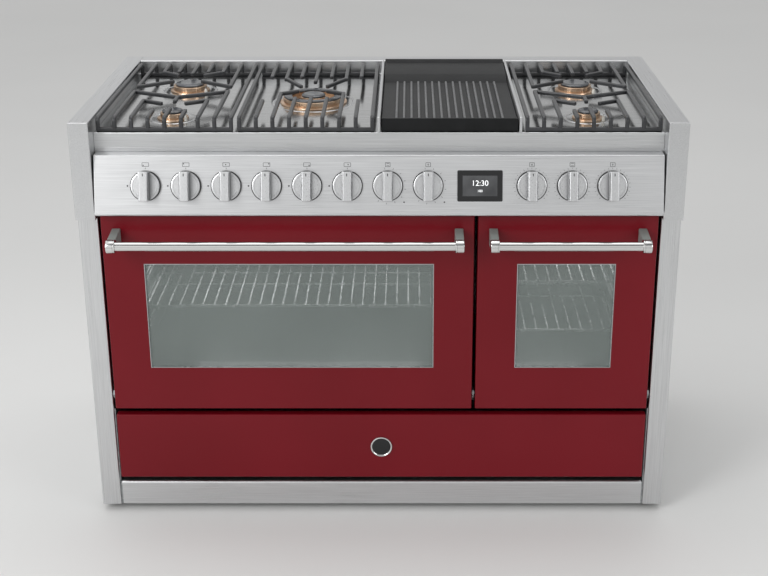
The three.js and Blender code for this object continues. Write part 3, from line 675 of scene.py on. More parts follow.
# %% [markdown]
# ## Folded sheet
#
# A press brake leaves a round of two or three millimetres along each fold, and that round is what shows
# as a bright line along every edge of the cooker. So a sheet starts as the line that its outside
# follows. Each corner of the line becomes an arc, the line gets the sheet's thickness to one side, and
# the result is a prism.

# %% From a line to a folded sheet
sheet = 1.5 * mm
edge_round = 0.35 * mm
fold_angle = 50


# Each corner becomes an arc that starts and ends where the circle touches the two lines.
def arcs_at_corners(path, radius, steps=5):
    points = [Vector(path[0])]
    for a, b, c in zip(path, path[1:], path[2:]):
        corner = Vector(b)
        back, ahead = (Vector(a) - corner).normalized(), (Vector(c) - corner).normalized()
        half = back.angle(ahead) / 2
        centre = corner + (back + ahead).normalized() * radius / math.sin(half)
        start = corner + back * radius / math.tan(half) - centre
        end = corner + ahead * radius / math.tan(half) - centre
        points += [centre + start.lerp(end, i / steps).normalized() * radius for i in range(steps + 1)]
    return points + [Vector(path[-1])]


# The inner line lies one sheet's thickness to the left of the outer one.
def folded_outline(path, radius):
    line = arcs_at_corners(path, radius)
    last = len(line) - 1
    inner = []
    for i, point in enumerate(line):
        before = (line[max(i, 1)] - line[max(i, 1) - 1]).normalized()
        after = (line[min(i + 1, last)] - line[min(i + 1, last) - 1]).normalized()
        ahead = (before + after).normalized()
        inner.append(point + Vector((-ahead.y, ahead.x)) * sheet)
    return line + inner[::-1]


def folded_sheet(name, node, axis, start, end, path, radius, material):
    bm = prism(folded_outline(path, radius), axis, start, end, edge_round, 2, angle=fold_angle)
    return fit(put(name, mesh_of(bm), material), node, "brushed_steel", node)


print("sheet", round(sheet / mm, 1), "mm thick")

# %% The hob's sheet: apron, cooking surface and raised rim along the back
rear_rim = 45 * mm
apron_low = panel.z1 - 12 * mm
hob_path = [(hob.y1, hob.z0), (hob.y1, hob.z1), (hob.y1 - rear_rim, hob.z1)]
hob_path += [(hob.y1 - rear_rim, hob_level), (hob.y0, hob_level), (hob.y0, apron_low)]
hob_sheet = folded_sheet("hob_sheet", "hob_top", "X", hob.x0, hob.x1, hob_path, 2.6 * mm, steel_along)

# Between the burners the sheet keeps the mill's bright surface, smoother than the brushed outside, and
# its darker colour is painted shade from the grates.
hob_sheet.data.materials.append(hob_steel_painted_shade)
flat_faces = 0
for face in hob_sheet.data.polygons:
    if abs(face.center.z - hob_level) < 0.2 * mm and face.normal.z > 0.9:
        face.material_index = 1
        flat_faces += 1
print("bright faces on the hob:", flat_faces)

# %% The sloping panel and the plinth
lean = math.radians(15)
panel_return = 36 * mm
slope_length = (panel.z1 - panel.z0) / math.cos(lean)
panel_path = [(panel.y1, panel.z1), (panel.y0 + slope_length * math.sin(lean), panel.z1)]
panel_path += [(panel.y0, panel.z0), (panel.y0 + panel_return, panel.z0)]
folded_sheet("panel_sheet", "control_panel", "X", panel.x0, panel.x1, panel_path, 3.2 * mm, steel_along)

# The plinth has a wide round at its top.
plinth = box("plinth")
plinth_path = [(plinth.y1, plinth.z1), (plinth.y0, plinth.z1), (plinth.y0, plinth.z0)]
folded_sheet("plinth_sheet", "plinth", "X", plinth.x0, plinth.x1, plinth_path, 6 * mm, steel_along)
print("panel slope", round(slope_length / mm, 1), "mm long")

# %% The side panels, each folded round to make a pillar in front and a return behind
side_return = 40 * mm
for side in ("left", "right"):
    wall = box(f"side_panel_{side}")
    outer, inner = (wall.x0, wall.x1) if side == "left" else (wall.x1, wall.x0)
    path = [(inner, wall.y0 + side_return), (inner, wall.y0), (outer, wall.y0)]
    path += [(outer, wall.y1), (inner, wall.y1), (inner, wall.y1 - side_return)]
    path = path[::-1] if side == "left" else path
    node = f"side_panel_{side}"
    folded_sheet(f"side_sheet_{side}", node, "Z", wall.z0, wall.z1, path, 2.2 * mm, steel_upright)
print("folded sheets: hob, panel, plinth and two sides")

# %% [markdown]
# ## Trays
#
# The deep side rims, the doors' skins and the drawer front are drawn as trays: a face with a return
# along each side. A tray is made as an open surface first. Its folds are rounded while it is still
# thin, and a Solidify modifier then gives it the sheet's thickness on the inside.


# %% From a face to a tray
def rectangle(area, y):
    corners = ((area.x0, area.z0), (area.x1, area.z0), (area.x1, area.z1), (area.x0, area.z1))
    return [Vector((x, y, z)) for x, z in corners]


# The depth is the way from the face to the tray's rim. An opening is a hole in the face.
def tray(face, depth, radius, opening=None):
    bm = bmesh.new()
    outer = [bm.verts.new(p) for p in face]
    back = [bm.verts.new(p + depth) for p in face]
    inner = [bm.verts.new(p) for p in opening or []]
    if not opening:
        bm.faces.new(outer)
    for i in range(4):
        j = (i + 1) % 4
        if opening:
            bm.faces.new((outer[i], outer[j], inner[j], inner[i]))
        bm.faces.new((outer[i], back[i], back[j], outer[j]))
    bmesh.ops.recalc_face_normals(bm, faces=bm.faces)
    bm.normal_update()
    bm.faces.ensure_lookup_table()
    if bm.faces[0].normal.dot(depth) > 0:
        bmesh.ops.reverse_faces(bm, faces=bm.faces)
    return round_edges(bm, radius, 4)


def sheet_tray(name, node, shape, material, slot):
    piece = put(name, mesh_of(shape), material)
    wall = piece.modifiers.new("wall", "SOLIDIFY")
    wall.thickness = sheet
    wall.offset = -1
    wall.use_even_offset = True
    piece.modifiers.move(1, 0)
    return fit(piece, node, slot, node)


print("a tray's wall is", round(sheet / mm, 1), "mm thick")

# %% The rims beside the hob
for side in ("left", "right"):
    cap = box(f"hob_side_rim_{side}")
    corners = ((cap.x0, cap.y0), (cap.x1, cap.y0), (cap.x1, cap.y1), (cap.x0, cap.y1))
    shape = tray([Vector((x, y, cap.z1)) for x, y in corners], Vector((0, 0, cap.z0 - cap.z1)), 1.8 * mm)
    sheet_tray(f"rim_cap_{side}", f"hob_side_rim_{side}", shape, steel_back, "brushed_steel")
print("rims:", round((cap.z1 - cap.z0) / mm), "mm deep")

# %% Door skins and drawer front
skin_round = 2.4 * mm
glass_lap = 8 * mm
windows = {}
for side in ("left", "right"):
    skin, pane = box(f"door_skin_{side}"), box(f"door_window_{side}")
    hole = SimpleNamespace(
        x0=pane.x0 + glass_lap, x1=pane.x1 - glass_lap, z0=pane.z0 + glass_lap, z1=pane.z1 - glass_lap
    )
    windows[side] = hole
    depth = Vector((0, skin.y1 - skin.y0, 0))
    shape = tray(rectangle(skin, skin.y0), depth, skin_round, rectangle(hole, skin.y0))
    sheet_tray(f"door_enamel_{side}", f"door_skin_{side}", shape, door_enamel, "red_enamel")

drawer = box("drawer_front")
shape = tray(rectangle(drawer, drawer.y0), Vector((0, drawer.y1 - drawer.y0, 0)), skin_round)
sheet_tray("drawer_enamel", "drawer_front", shape, door_enamel, "red_enamel")
print("window openings:", [round((hole.z1 - hole.z0) / mm) for hole in windows.values()], "mm high")

# %% [markdown]
# ## Softened solids
#
# Sheet metal that is mostly hidden keeps the shape of its solid. A copy of the solid's triangles is
# welded and joined into whole faces, and the folds are bevelled: the edges between two faces wider than
# the sheet. Drawing these pieces anew would gain nothing that can be seen.

# %% Softened copies of the hidden sheet metal
sheet_limit = 2.4 * mm


def is_fold(edge):
    widths = [face.calc_area() / max(e.calc_length() for e in face.edges) for face in edge.link_faces]
    return min(widths) > sheet_limit


def softened(node, material, slot, radius, segments=2):
    bm = bmesh_of(frame["nodes"][node].data)
    bmesh.ops.remove_doubles(bm, verts=bm.verts, dist=weld)
    bmesh.ops.dissolve_limit(bm, angle_limit=math.radians(0.6), verts=bm.verts, edges=bm.edges)
    round_edges(bm, radius, segments, keep=is_fold)
    return fit(put(f"{node}_sheet", mesh_of(bm), material), node, slot, node)


for side in ("left", "right"):
    softened(f"oven_cavity_{side}", cavity_enamel, "oven_enamel", 4 * mm, 3)
softened("fan_cover", cavity_enamel, "oven_enamel", 1.2 * mm)
for node in ("back_panel", "drawer_box"):
    softened(node, galvanised, "galvanised", 1.0 * mm)
refinish("chassis", galvanised)
refinish("switch_rail", galvanised)
refinish("gas_manifold", brass)

# %% [markdown]
# ## Growing pieces with Geometry Nodes
#
# Bars, wires, ribs, teeth, ticks and screws repeat, or follow a path. A few small node trees make them
# all. Each tree has named inputs for its sizes. One function gives a tree a skeleton and sizes and
# takes the finished mesh.


# %% Node tree helpers
def start_tree(name, floats=(), whole=(), vectors=()):
    tree = bpy.data.node_groups.new(name, "GeometryNodeTree")
    tree.interface.new_socket("Geometry", in_out="OUTPUT", socket_type="NodeSocketGeometry")
    tree.interface.new_socket("Skeleton", in_out="INPUT", socket_type="NodeSocketGeometry")
    kinds = (("NodeSocketFloat", floats), ("NodeSocketInt", whole), ("NodeSocketVector", vectors))
    for kind, labels in kinds:
        for label in labels:
            tree.interface.new_socket(label, in_out="INPUT", socket_type=kind)
    tree.interface.new_socket("Finish", in_out="INPUT", socket_type="NodeSocketMaterial")
    return tree, tree.nodes.new("NodeGroupInput").outputs


def close_tree(tree, inputs, geometry):
    real = add_node(tree, "GeometryNodeRealizeInstances", {"Geometry": geometry}).outputs[0]
    sockets = {"Geometry": real, "Material": inputs["Finish"]}
    finished = add_node(tree, "GeometryNodeSetMaterial", sockets).outputs[0]
    add_node(tree, "NodeGroupOutput", {"Geometry": finished})
    return tree


def grown(tree, finish, sizes, skeleton=None):
    holder = bpy.data.objects.new("holder", skeleton or bpy.data.meshes.new("seed"))
    bpy.context.scene.collection.objects.link(holder)
    growth = holder.modifiers.new("growth", "NODES")
    growth.node_group = tree
    values = {"Finish": finish, **sizes}
    for item in tree.interface.items_tree:
        if item.in_out == "INPUT" and item.name in values:
            growth[item.identifier] = values[item.name]
    depsgraph = bpy.context.evaluated_depsgraph_get()
    result = bpy.data.meshes.new_from_object(holder.evaluated_get(depsgraph))
    bpy.data.objects.remove(holder)
    return result


print("a tree grows from a skeleton, named sizes and a finish")


# %% Lines for a tree to follow
# Chains of points become edges, and a tree can follow them as curves.
def chains(lines, closed=False):
    points, edges = [], []
    for line in lines:
        first = len(points)
        points += line
        edges += [(first + i, first + i + 1) for i in range(len(line) - 1)]
        if closed:
            edges.append((first + len(line) - 1, first))
    mesh = bpy.data.meshes.new("chains")
    mesh.from_pydata(points, edges, [])
    return mesh


corner_sample = chains([[(0, 0, 0), (1, 0, 0), (1, 1, 0)]], closed=True)
print("edges in a closed chain of three points:", len(corner_sample.edges))
bpy.data.meshes.remove(corner_sample)

# %% Trees that sweep a section along lines
bend_steps = 4
wire_sides = 10


def sweep_tree(name, round_section):
    tree, inputs = start_tree(name, floats=("Width", "Height", "Bend radius"))
    line = add_node(tree, "GeometryNodeMeshToCurve", {"Mesh": inputs["Skeleton"]}).outputs["Curve"]
    sockets = {"Curve": line, "Radius": inputs["Bend radius"], "Count": bend_steps, "Limit Radius": True}
    bent = add_node(tree, "GeometryNodeFilletCurve", sockets, mode="POLY").outputs["Curve"]
    if round_section:
        sockets = {0: inputs["Width"], 1: 0.5}
        half = add_node(tree, "ShaderNodeMath", sockets, operation="MULTIPLY").outputs[0]
        sockets = {"Resolution": wire_sides, "Radius": half}
        section = add_node(tree, "GeometryNodeCurvePrimitiveCircle", sockets).outputs[0]
    else:
        sockets = {"Width": inputs["Width"], "Height": inputs["Height"]}
        section = add_node(tree, "GeometryNodeCurvePrimitiveQuadrilateral", sockets).outputs[0]
    sockets = {"Curve": bent, "Profile Curve": section, "Fill Caps": True}
    return close_tree(tree, inputs, add_node(tree, "GeometryNodeCurveToMesh", sockets).outputs[0])


bar_sweep = sweep_tree("bars_along_lines", round_section=False)
wire_sweep = sweep_tree("wires_along_lines", round_section=True)
print("sweeping trees:", bar_sweep.name, wire_sweep.name)


# %% Trees that repeat a block or a screw
def row_tree():
    tree, inputs = start_tree("row_of_blocks", whole=("Count",), vectors=("First", "Step", "Size"))
    sockets = {"Count": inputs["Count"], "Start Location": inputs["First"], "Offset": inputs["Step"]}
    points = add_node(tree, "GeometryNodeMeshLine", sockets, mode="OFFSET").outputs[0]
    one = add_node(tree, "GeometryNodeMeshCube", {"Size": inputs["Size"]}).outputs[0]
    row = add_node(tree, "GeometryNodeInstanceOnPoints", {"Points": points, "Instance": one}).outputs[0]
    return close_tree(tree, inputs, row)


def ring_tree():
    labels = ("Radius", "Start", "Sweep")
    tree, inputs = start_tree("ring_of_blocks", floats=labels, whole=("Count",), vectors=("Size",))
    index = add_node(tree, "GeometryNodeInputIndex").outputs[0]
    sockets = {0: index, 1: inputs["Count"]}
    share = add_node(tree, "ShaderNodeMath", sockets, operation="DIVIDE").outputs[0]
    sockets = {0: share, 1: inputs["Sweep"], 2: inputs["Start"]}
    angle = add_node(tree, "ShaderNodeMath", sockets, operation="MULTIPLY_ADD").outputs[0]
    place = add_node(tree, "ShaderNodeCombineXYZ")
    for axis, wave in enumerate(("SINE", "COSINE")):
        part = add_node(tree, "ShaderNodeMath", {0: angle}, operation=wave).outputs[0]
        sockets = {0: part, 1: inputs["Radius"]}
        add_node(tree, "ShaderNodeMath", sockets, {0: place.inputs[axis]}, operation="MULTIPLY")
    sockets = {"Count": inputs["Count"], "Position": place.outputs[0]}
    points = add_node(tree, "GeometryNodePoints", sockets).outputs[0]
    back = add_node(tree, "ShaderNodeMath", {0: angle, 1: -1.0}, operation="MULTIPLY").outputs[0]
    turn = add_node(tree, "ShaderNodeCombineXYZ", {2: back}).outputs[0]
    one = add_node(tree, "GeometryNodeMeshCube", {"Size": inputs["Size"]}).outputs[0]
    sockets = {"Points": points, "Instance": one, "Rotation": turn}
    return close_tree(tree, inputs, add_node(tree, "GeometryNodeInstanceOnPoints", sockets).outputs[0])


# A washer-head screw: a hexagon on a round flange.
def screw_tree():
    tree, inputs = start_tree("washer_head_screws", floats=("Size",), vectors=("Turn",))
    screw = add_node(tree, "GeometryNodeJoinGeometry")
    for corners, radius_share, depth_share in ((6, 0.6, 1.0), (16, 0.9, 0.4)):
        sockets = {"Vertices": corners}
        part = add_node(tree, "GeometryNodeMeshCylinder", sockets, {"Mesh": screw.inputs[0]})
        for socket, share in (("Radius", radius_share), ("Depth", depth_share)):
            sockets = {0: inputs["Size"], 1: share}
            add_node(tree, "ShaderNodeMath", sockets, {0: part.inputs[socket]}, operation="MULTIPLY")
    sockets = {"Points": inputs["Skeleton"], "Instance": screw.outputs[0], "Rotation": inputs["Turn"]}
    return close_tree(tree, inputs, add_node(tree, "GeometryNodeInstanceOnPoints", sockets).outputs[0])


block_row = row_tree()
block_ring = ring_tree()
screw_heads = screw_tree()
print("repeating trees:", block_row.name, block_ring.name, screw_heads.name)

# %% [markdown]
# ## Cast iron grates
#
# Each grate is one casting: two long outer bars, and between them fingers that stand on an end bar,
# bend over and stop short of the burners. Short arms run from the fingers to the flames. The fingers
# follow simple lines, so a tree sweeps a square bar along them, and a bevel then rounds it as a sand
# mould would. Where a finger ends is measured on the solid, by dropping rays on it along the finger's
# line.

# %% Where the fingers end
bar = 8 * mm


# Each ray says whether there is iron under it. The search from either end starts past the finger's leg.
def finger_ends(node, columns):
    solid, grate = frame["nodes"][node].data, box(node)
    surface = BVHTree.FromPolygons([v.co for v in solid.vertices], [p.vertices for p in solid.polygons])
    step = 0.5 * mm
    count = int((grate.y1 - grate.y0) / step)
    past_leg = int(2 * bar / step)
    ends = []
    for x in columns:
        iron = []
        for i in range(count + 1):
            above = Vector((x, grate.y0 + i * step, grate.z1 + bar))
            point = surface.ray_cast(above, Vector((0, 0, -1)))[0]
            iron.append(point is not None and point.z > grate.z1 - bar / 2)
        front_end = iron.index(False, past_leg)
        rear_end = count - iron[::-1].index(False, past_leg)
        ends.append((grate.y0 + front_end * step, grate.y0 + rear_end * step))
    return ends


print("rays are dropped every half millimetre on bars", round(bar / mm), "mm wide")

# %% One grate from its lines
spaces = 8
finger_bend = 7 * mm
cast_round = 2.3 * mm


def column_pitch(node):
    return (box(node).x1 - box(node).x0 - bar) / spaces


def cast_bars(lines):
    sizes = {"Width": bar, "Height": bar, "Bend radius": finger_bend}
    bm = bmesh_of(grown(bar_sweep, grate_iron, sizes, chains(lines)))
    bmesh.ops.remove_doubles(bm, verts=bm.verts, dist=weld)
    bmesh.ops.recalc_face_normals(bm, faces=bm.faces)
    return round_edges(bm, cast_round, 3, angle=fold_angle)


def cast_grate(node, arms):
    grate = box(node)
    low, high = grate.z0, grate.z1 - bar / 2
    near, far = grate.y0 + bar / 2, grate.y1 - bar / 2
    columns = [grate.x0 + bar / 2 + i * column_pitch(node) for i in range(spaces + 1)]
    lines = []
    for x in (columns[0], columns[-1]):
        lines.append([(x, near, low), (x, near, high), (x, far, high), (x, far, low)])
    for x, (front_end, rear_end) in zip(columns[1:-1], finger_ends(node, columns[1:-1])):
        lines.append([(x, near, low), (x, near, high), (x, front_end, high)])
        lines.append([(x, far, low), (x, far, high), (x, rear_end, high)])
    inset = 0.3 * mm
    foot = low + bar / 2 - inset
    for y in (near + inset, far - inset):
        lines.append([(grate.x0 + inset, y, foot), (grate.x1 - inset, y, foot)])
    for start, end in arms:
        for side in (1,) if start[0] == end[0] == 0 else (-1, 1):
            lines.append([(grate.x + side * x, y, high - 0.05 * mm) for x, y in (start, end)])
    fit(put(f"{node}_casting", mesh_of(cast_bars(lines)), grate_iron), node, "cast_iron", node)
    return len(lines)


print("each grate has", spaces + 1, "columns of bars")

# %% The short arms, and all three grates
# An arm runs from one point to another, each a distance from the grate's middle line and a depth.
small_flame, rear_flame, wok_flame = 27 * mm, 39 * mm, 66 * mm


def twin_arms(node, front_burner, rear_burner):
    pitch, near, far = column_pitch(node), box(front_burner).y, box(rear_burner).y
    bridge = (near + far) / 2
    return [
        ((2 * pitch, near + small_flame + 12 * mm), (small_flame * 0.85, near + small_flame / 2)),
        ((3 * pitch, bridge - 3 * mm), (-bar / 4, near + wok_flame)),
        ((0, near + wok_flame + 3 * mm), (0, near + small_flame)),
        ((3 * pitch, bridge + rear_flame + 3 * mm), (small_flame * 1.1, far - small_flame)),
        ((2 * pitch, far + rear_flame + 18 * mm), (small_flame, far + small_flame)),
    ]


def wok_arms(node, burner):
    pitch, middle = column_pitch(node), box(burner).y
    return [
        ((2 * pitch, middle - wok_flame / 2 - 3 * mm), (small_flame * 1.1, middle - small_flame / 2)),
        ((2 * pitch, middle + wok_flame + 33 * mm), (small_flame, middle + small_flame)),
    ]


bars = 0
for side in ("left", "right"):
    arms = twin_arms(f"grate_{side}", f"burner_cap_front_{side}", f"burner_cap_rear_{side}")
    bars += cast_grate(f"grate_{side}", arms)
bars += cast_grate("grate_middle", wok_arms("grate_middle", "burner_cap_wok"))
print("bars in the three grates:", bars)

# %% [markdown]
# ## Griddle
#
# The griddle is a heavy cast plate. Its front edge is a low lip, the ribs stand on the flat part, and
# behind them the plate slopes up to a shelf. The plate is one prism with rounded edges, and a tree
# repeats the ribs.

# %% The griddle's plate
griddle = box("griddle")
face_level = grate_level - 12 * mm
lip_level = grate_level - 4 * mm
edge_wall = 11 * mm
shelf_depth = 126 * mm
slope_depth = 40 * mm
soft_fold_angle = 14
shelf_edge = griddle.y1 - shelf_depth
slope_foot = shelf_edge - slope_depth
outline = [(griddle.y0, griddle.z0), (griddle.y0, lip_level), (griddle.y0 + edge_wall * 0.6, lip_level)]
outline += [(griddle.y0 + edge_wall, face_level), (slope_foot, face_level)]
outline += [(shelf_edge, grate_level - 2 * mm)]
outline += [(griddle.y1 - edge_wall, grate_level), (griddle.y1 - edge_wall / 2, griddle.z1)]
outline += [(griddle.y1, griddle.z1), (griddle.y1, griddle.z0)]
plate = prism(outline, "X", griddle.x0, griddle.x1, 1.6 * mm, 3, angle=soft_fold_angle)
fit(put("griddle_plate_casting", mesh_of(plate), griddle_iron), "griddle", "cast_iron", "griddle")
print("griddle plate", round((griddle.y1 - griddle.y0) / mm), "mm deep")

# %% The griddle's ribs
rib_count = 15
rib_pitch = 15 * mm
rib_height = 4.8 * mm
rib_size = Vector((5 * mm, slope_foot - griddle.y0 - edge_wall - 8 * mm, 9 * mm))
first_rib = Vector((griddle.x, (griddle.y0 + edge_wall + slope_foot) / 2, face_level))
first_rib.x -= (rib_count - 1) * rib_pitch / 2
first_rib.z += rib_height - rib_size.z / 2
sizes = {"Count": rib_count, "First": first_rib, "Step": Vector((rib_pitch, 0, 0)), "Size": rib_size}
# The ribs get the paler iron, a painted highlight along their crests.
ribs = round_edges(bmesh_of(grown(block_row, rib_iron_painted_highlight, sizes)), 2.0 * mm, 4)
fit(put("griddle_ribs", mesh_of(ribs), rib_iron_painted_highlight), "griddle", "cast_iron")
print("griddle ribs:", rib_count, "each", round(rib_size.y / mm), "mm long")

# %% [markdown]
# ## Burners
#
# A burner is a brass crown with flame slots round its edge and a loose enamelled cap on top. The gas
# comes out of narrow slots between teeth. A tree sets the teeth in a ring round a turned core, and a
# thin turned rim covers them. The wok burner has two such crowns, one inside the other.

# %% A ring of flames and a cap
crown_height = 13 * mm
crown_flange = 7 * mm
flame_slot = 1.3 * mm
cap_thickness = 5.5 * mm
hob_face = hob_level + touch


def flame_ring(outer, count, inner=0.0):
    top, foot = crown_height, outer + crown_flange
    core = [(inner, 0), (foot, 0), (foot - 0.8 * mm, 2.6 * mm), (outer + 1.5 * mm, 4 * mm)]
    core += [(outer - 2.2 * mm, 4.2 * mm), (outer - 2.2 * mm, top - 2 * mm), (inner, top - 2 * mm)]
    if inner:
        core.append(core[0])
    lid = [(outer - 6 * mm, top - 3 * mm), (outer, top - 2.4 * mm), (outer, top - 0.8 * mm)]
    lid += [(outer - 0.8 * mm, top), (outer - 6 * mm, top), (outer - 6 * mm, top - 3 * mm)]
    size = Vector((2 * math.pi * outer / count - flame_slot, 2.6 * mm, top - 6 * mm))
    sizes = {"Count": count, "Radius": outer - 1.5 * mm, "Start": 0.0, "Sweep": 2 * math.pi, "Size": size}
    teeth = bmesh_of(grown(block_ring, brass, sizes))
    return joined(turned(core, 64), turned(lid, 64), shifted(teeth, z=3.8 * mm + size.z / 2))


def burner_cap(r):
    t = cap_thickness
    profile = [(0, 0), (r - 1 * mm, 0), (r, 0.8 * mm), (r, t * 0.45), (r - 1.2 * mm, t * 0.72)]
    profile += [(r - 4 * mm, t * 0.94), (r - 7 * mm, t), (r * 0.45, t * 0.96), (0, t * 0.9)]
    return turned(profile, 64)


print("flame slots:", round(flame_slot / mm, 1), "mm wide")

# %% The wok burner's inner crown, the channel round it and the enamelled ring on its outer crown
wok_hole = 46 * mm
inner_teeth = 36


def wok_inside():
    floor = [(30 * mm, 0), (48 * mm, 0), (48 * mm, 5 * mm), (30 * mm, 5 * mm), (30 * mm, 0)]
    return joined(flame_ring(27 * mm, inner_teeth), turned(floor, 64))


def wok_ring_cap():
    profile = [(45 * mm, 0), (61.5 * mm, 0), (62.3 * mm, 1 * mm), (61.4 * mm, 2.6 * mm)]
    profile += [(58 * mm, 3.4 * mm), (48 * mm, 3.4 * mm), (45.4 * mm, 2.4 * mm), (45 * mm, 0)]
    return turned(profile, 72)


print("teeth of the wok burner's inner crown:", inner_teeth)

# %% All five burners
teeth_counts = {"front_left": 36, "rear_left": 48, "wok": 84, "front_right": 36, "rear_right": 48}
for name, teeth in teeth_counts.items():
    crown, cap = f"burner_crown_{name}", f"burner_cap_{name}"
    place = box(crown)
    outer = (place.x1 - place.x0) / 2 - crown_flange
    ring = flame_ring(outer, teeth, wok_hole if name == "wok" else 0.0)
    if name == "wok":
        ring = joined(ring, wok_inside())
        cover = shifted(wok_ring_cap(), place.x, place.y, hob_face + crown_height + 0.1 * mm)
        fit(put("burner_wok_ring_cap", mesh_of(cover), cap_enamel), crown, "cap_enamel")
    ring = mesh_of(shifted(ring, place.x, place.y, hob_face))
    fit(put(f"burner_{name}_crown", ring, brass), crown, "brass", crown)
    lid = burner_cap((box(cap).x1 - box(cap).x0) / 2)
    lid = mesh_of(shifted(lid, place.x, place.y, box(cap).z0))
    fit(put(f"burner_{name}_cap", lid, cap_enamel), cap, "cap_enamel", cap)
print("burners:", len(teeth_counts), "teeth:", sum(teeth_counts.values()) + inner_teeth)

# %% [markdown]
# ## Electrodes, pressed rings and strips
#
# Beside each crown stands the ignition electrode, a steel pin in white ceramic. Round each burner a
# shallow ring is pressed into the sheet, which keeps spills away from the flames and stiffens the hob.
# Folded strips stand on both sides of the griddle, and the apron ends in a narrow hem. All of these are
# small turned profiles and rounded blocks, joined into one mesh for each finish, because nobody will
# ever move them one by one.


# %% Electrodes
def electrode():
    ceramic_profile = [(0, 0), (3.4 * mm, 0), (3.4 * mm, 6 * mm), (2.6 * mm, 7 * mm)]
    ceramic_profile += [(2.6 * mm, 9.5 * mm), (2.0 * mm, 10.4 * mm), (0, 10.4 * mm)]
    pin_profile = [(0, 0), (0.9 * mm, 0), (0.9 * mm, 13.6 * mm), (0.4 * mm, 14.4 * mm), (0, 14.4 * mm)]
    return turned(ceramic_profile, 24), turned(pin_profile, 12)


insulators, pins = [], []
for name in teeth_counts:
    crown = box(f"burner_crown_{name}")
    reach = (crown.x1 - crown.x0) / 2 + 4.5 * mm
    insulator, pin = electrode()
    insulators.append(shifted(insulator, crown.x + 0.8 * reach, crown.y - 0.6 * reach, hob_face))
    pins.append(shifted(pin, crown.x + 0.8 * reach, crown.y - 0.6 * reach, hob_face))
fit(put("electrode_ceramics", mesh_of(joined(*insulators)), ceramic), "hob_top", "cap_enamel")
fit(put("electrode_pins", mesh_of(joined(*pins)), bright_zinc), "hob_top", "chrome")
print("electrodes:", len(pins))

# %% Pressed rings
rings = []
for name in teeth_counts:
    crown = box(f"burner_crown_{name}")
    r = (crown.x1 - crown.x0) / 2 + 10 * mm
    profile = [(r, -0.4 * mm), (r + 1.5 * mm, 0.5 * mm), (r + 3.5 * mm, 1.1 * mm)]
    profile += [(r + 5.5 * mm, 0.5 * mm), (r + 7 * mm, -0.4 * mm), (r, -0.4 * mm)]
    rings.append(shifted(turned(profile, 72), crown.x, crown.y, hob_level))
fit(put("pressed_rings", mesh_of(joined(*rings)), steel_along), "hob_top", "brushed_steel")
print("pressed rings:", len(rings))

# %% Strips beside the griddle, and the apron's hem
divider = 6 * mm
y0, y1 = hob.y0 + 3 * mm, hob.y1 - rear_rim + 0.8 * mm
strips = []
for x in (griddle.x0 - 1.5 * mm - divider, box("grate_right").x0 - 6 * mm - divider):
    strips.append(block(x, x + divider, y0, y1, hob_level - 0.8 * mm, hob.z1, 1.5 * mm))
fit(put("griddle_side_strips", mesh_of(joined(*strips)), steel_back), "hob_top", "brushed_steel")

z0, z1 = panel.z1 + 0.5 * mm, panel.z1 + 8.5 * mm
hem = block(hob.x0, hob.x1, hob.y0 - 0.7 * mm, hob.y0 + 0.5 * mm, z0, z1, 0.5 * mm)
fit(put("apron_hem", mesh_of(hem), steel_along), "hob_top", "brushed_steel")
print("strips:", len(strips))

# %% [markdown]
# ## The panel's own axes
#
# The control panel leans back by 15 degrees. The knobs, the display and the print are easier to build
# flat, with X to the right, Y up the slope and Z out of the panel, and one matrix then stands them on
# it.

# %% Panel axes
foot_of_slope = Vector((0, panel.y0, panel.z0))
up_slope = Vector((0, math.sin(lean), math.cos(lean)))
outwards = Vector((0, -math.cos(lean), math.sin(lean)))
centre_line = foot_of_slope + up_slope * slope_length / 2


def on_panel(x):
    columns = [Vector((1, 0, 0)), up_slope, outwards, Vector((x, centre_line.y, centre_line.z))]
    return Matrix([[column[row] for column in columns] for row in range(3)] + [[0, 0, 0, 1]])


print("middle of the panel at height", round(centre_line.z / mm, 1), "mm")

# %% [markdown]
# ## Knobs
#
# Each knob is turned from steel bar: a flat disc with a step, and a bar grip across it with soft edges.
# The disc sits on a black ring, painted shade, which shows from above as a dark crescent. The grip's
# flanks carry thin plates coloured nearly black, a painted dark reflection, so they are darker than its
# edges, and a dark groove near its top end shows where it points.

# %% The knob's parts
knob_names = [f"knob_{i:02d}" for i in range(1, 12)]
knob_radius = (box("knob_01").x1 - box("knob_01").x0) / 2
shade_ring_height = 4.8 * mm
disc_height = 8 * mm
grip_height = 32 * mm
grip_length = 57 * mm
grip_width = 20 * mm
grip_top = 15 * mm
grip_chamfer = 4 * mm


def knob_disc():
    r, low, h = knob_radius - 1.6 * mm, shade_ring_height, disc_height
    profile = [(0, low), (r - 0.8 * mm, low), (r, low + 0.6 * mm), (r, h - 1.4 * mm)]
    profile += [(r - 0.5 * mm, h - 0.4 * mm), (r - 1.5 * mm, h), (r - 3.6 * mm, h)]
    profile += [(r - 4.0 * mm, h - 0.5 * mm), (r - 4.6 * mm, h - 0.5 * mm), (r - 5.0 * mm, h), (0, h)]
    return turned(profile, 64)


# A black ring under the disc: painted shade, the dark crescent that shows round the disc.
def knob_painted_shade_ring():
    r, h = knob_radius, shade_ring_height
    return turned([(0, touch), (r - 0.6 * mm, touch), (r, touch + 0.6 * mm), (r, h), (0, h)], 64)


def knob_grip():
    half, top, shoulder = grip_length / 2, grip_height, grip_height - grip_chamfer
    root = disc_height - 1 * mm
    a, b = grip_width / 2, grip_top / 2
    section = [(root, -a), (root, a), (shoulder, a), (top, b), (top, -b), (shoulder, -a)]
    return prism(section, "Y", -half, half, 1.1 * mm, 3)


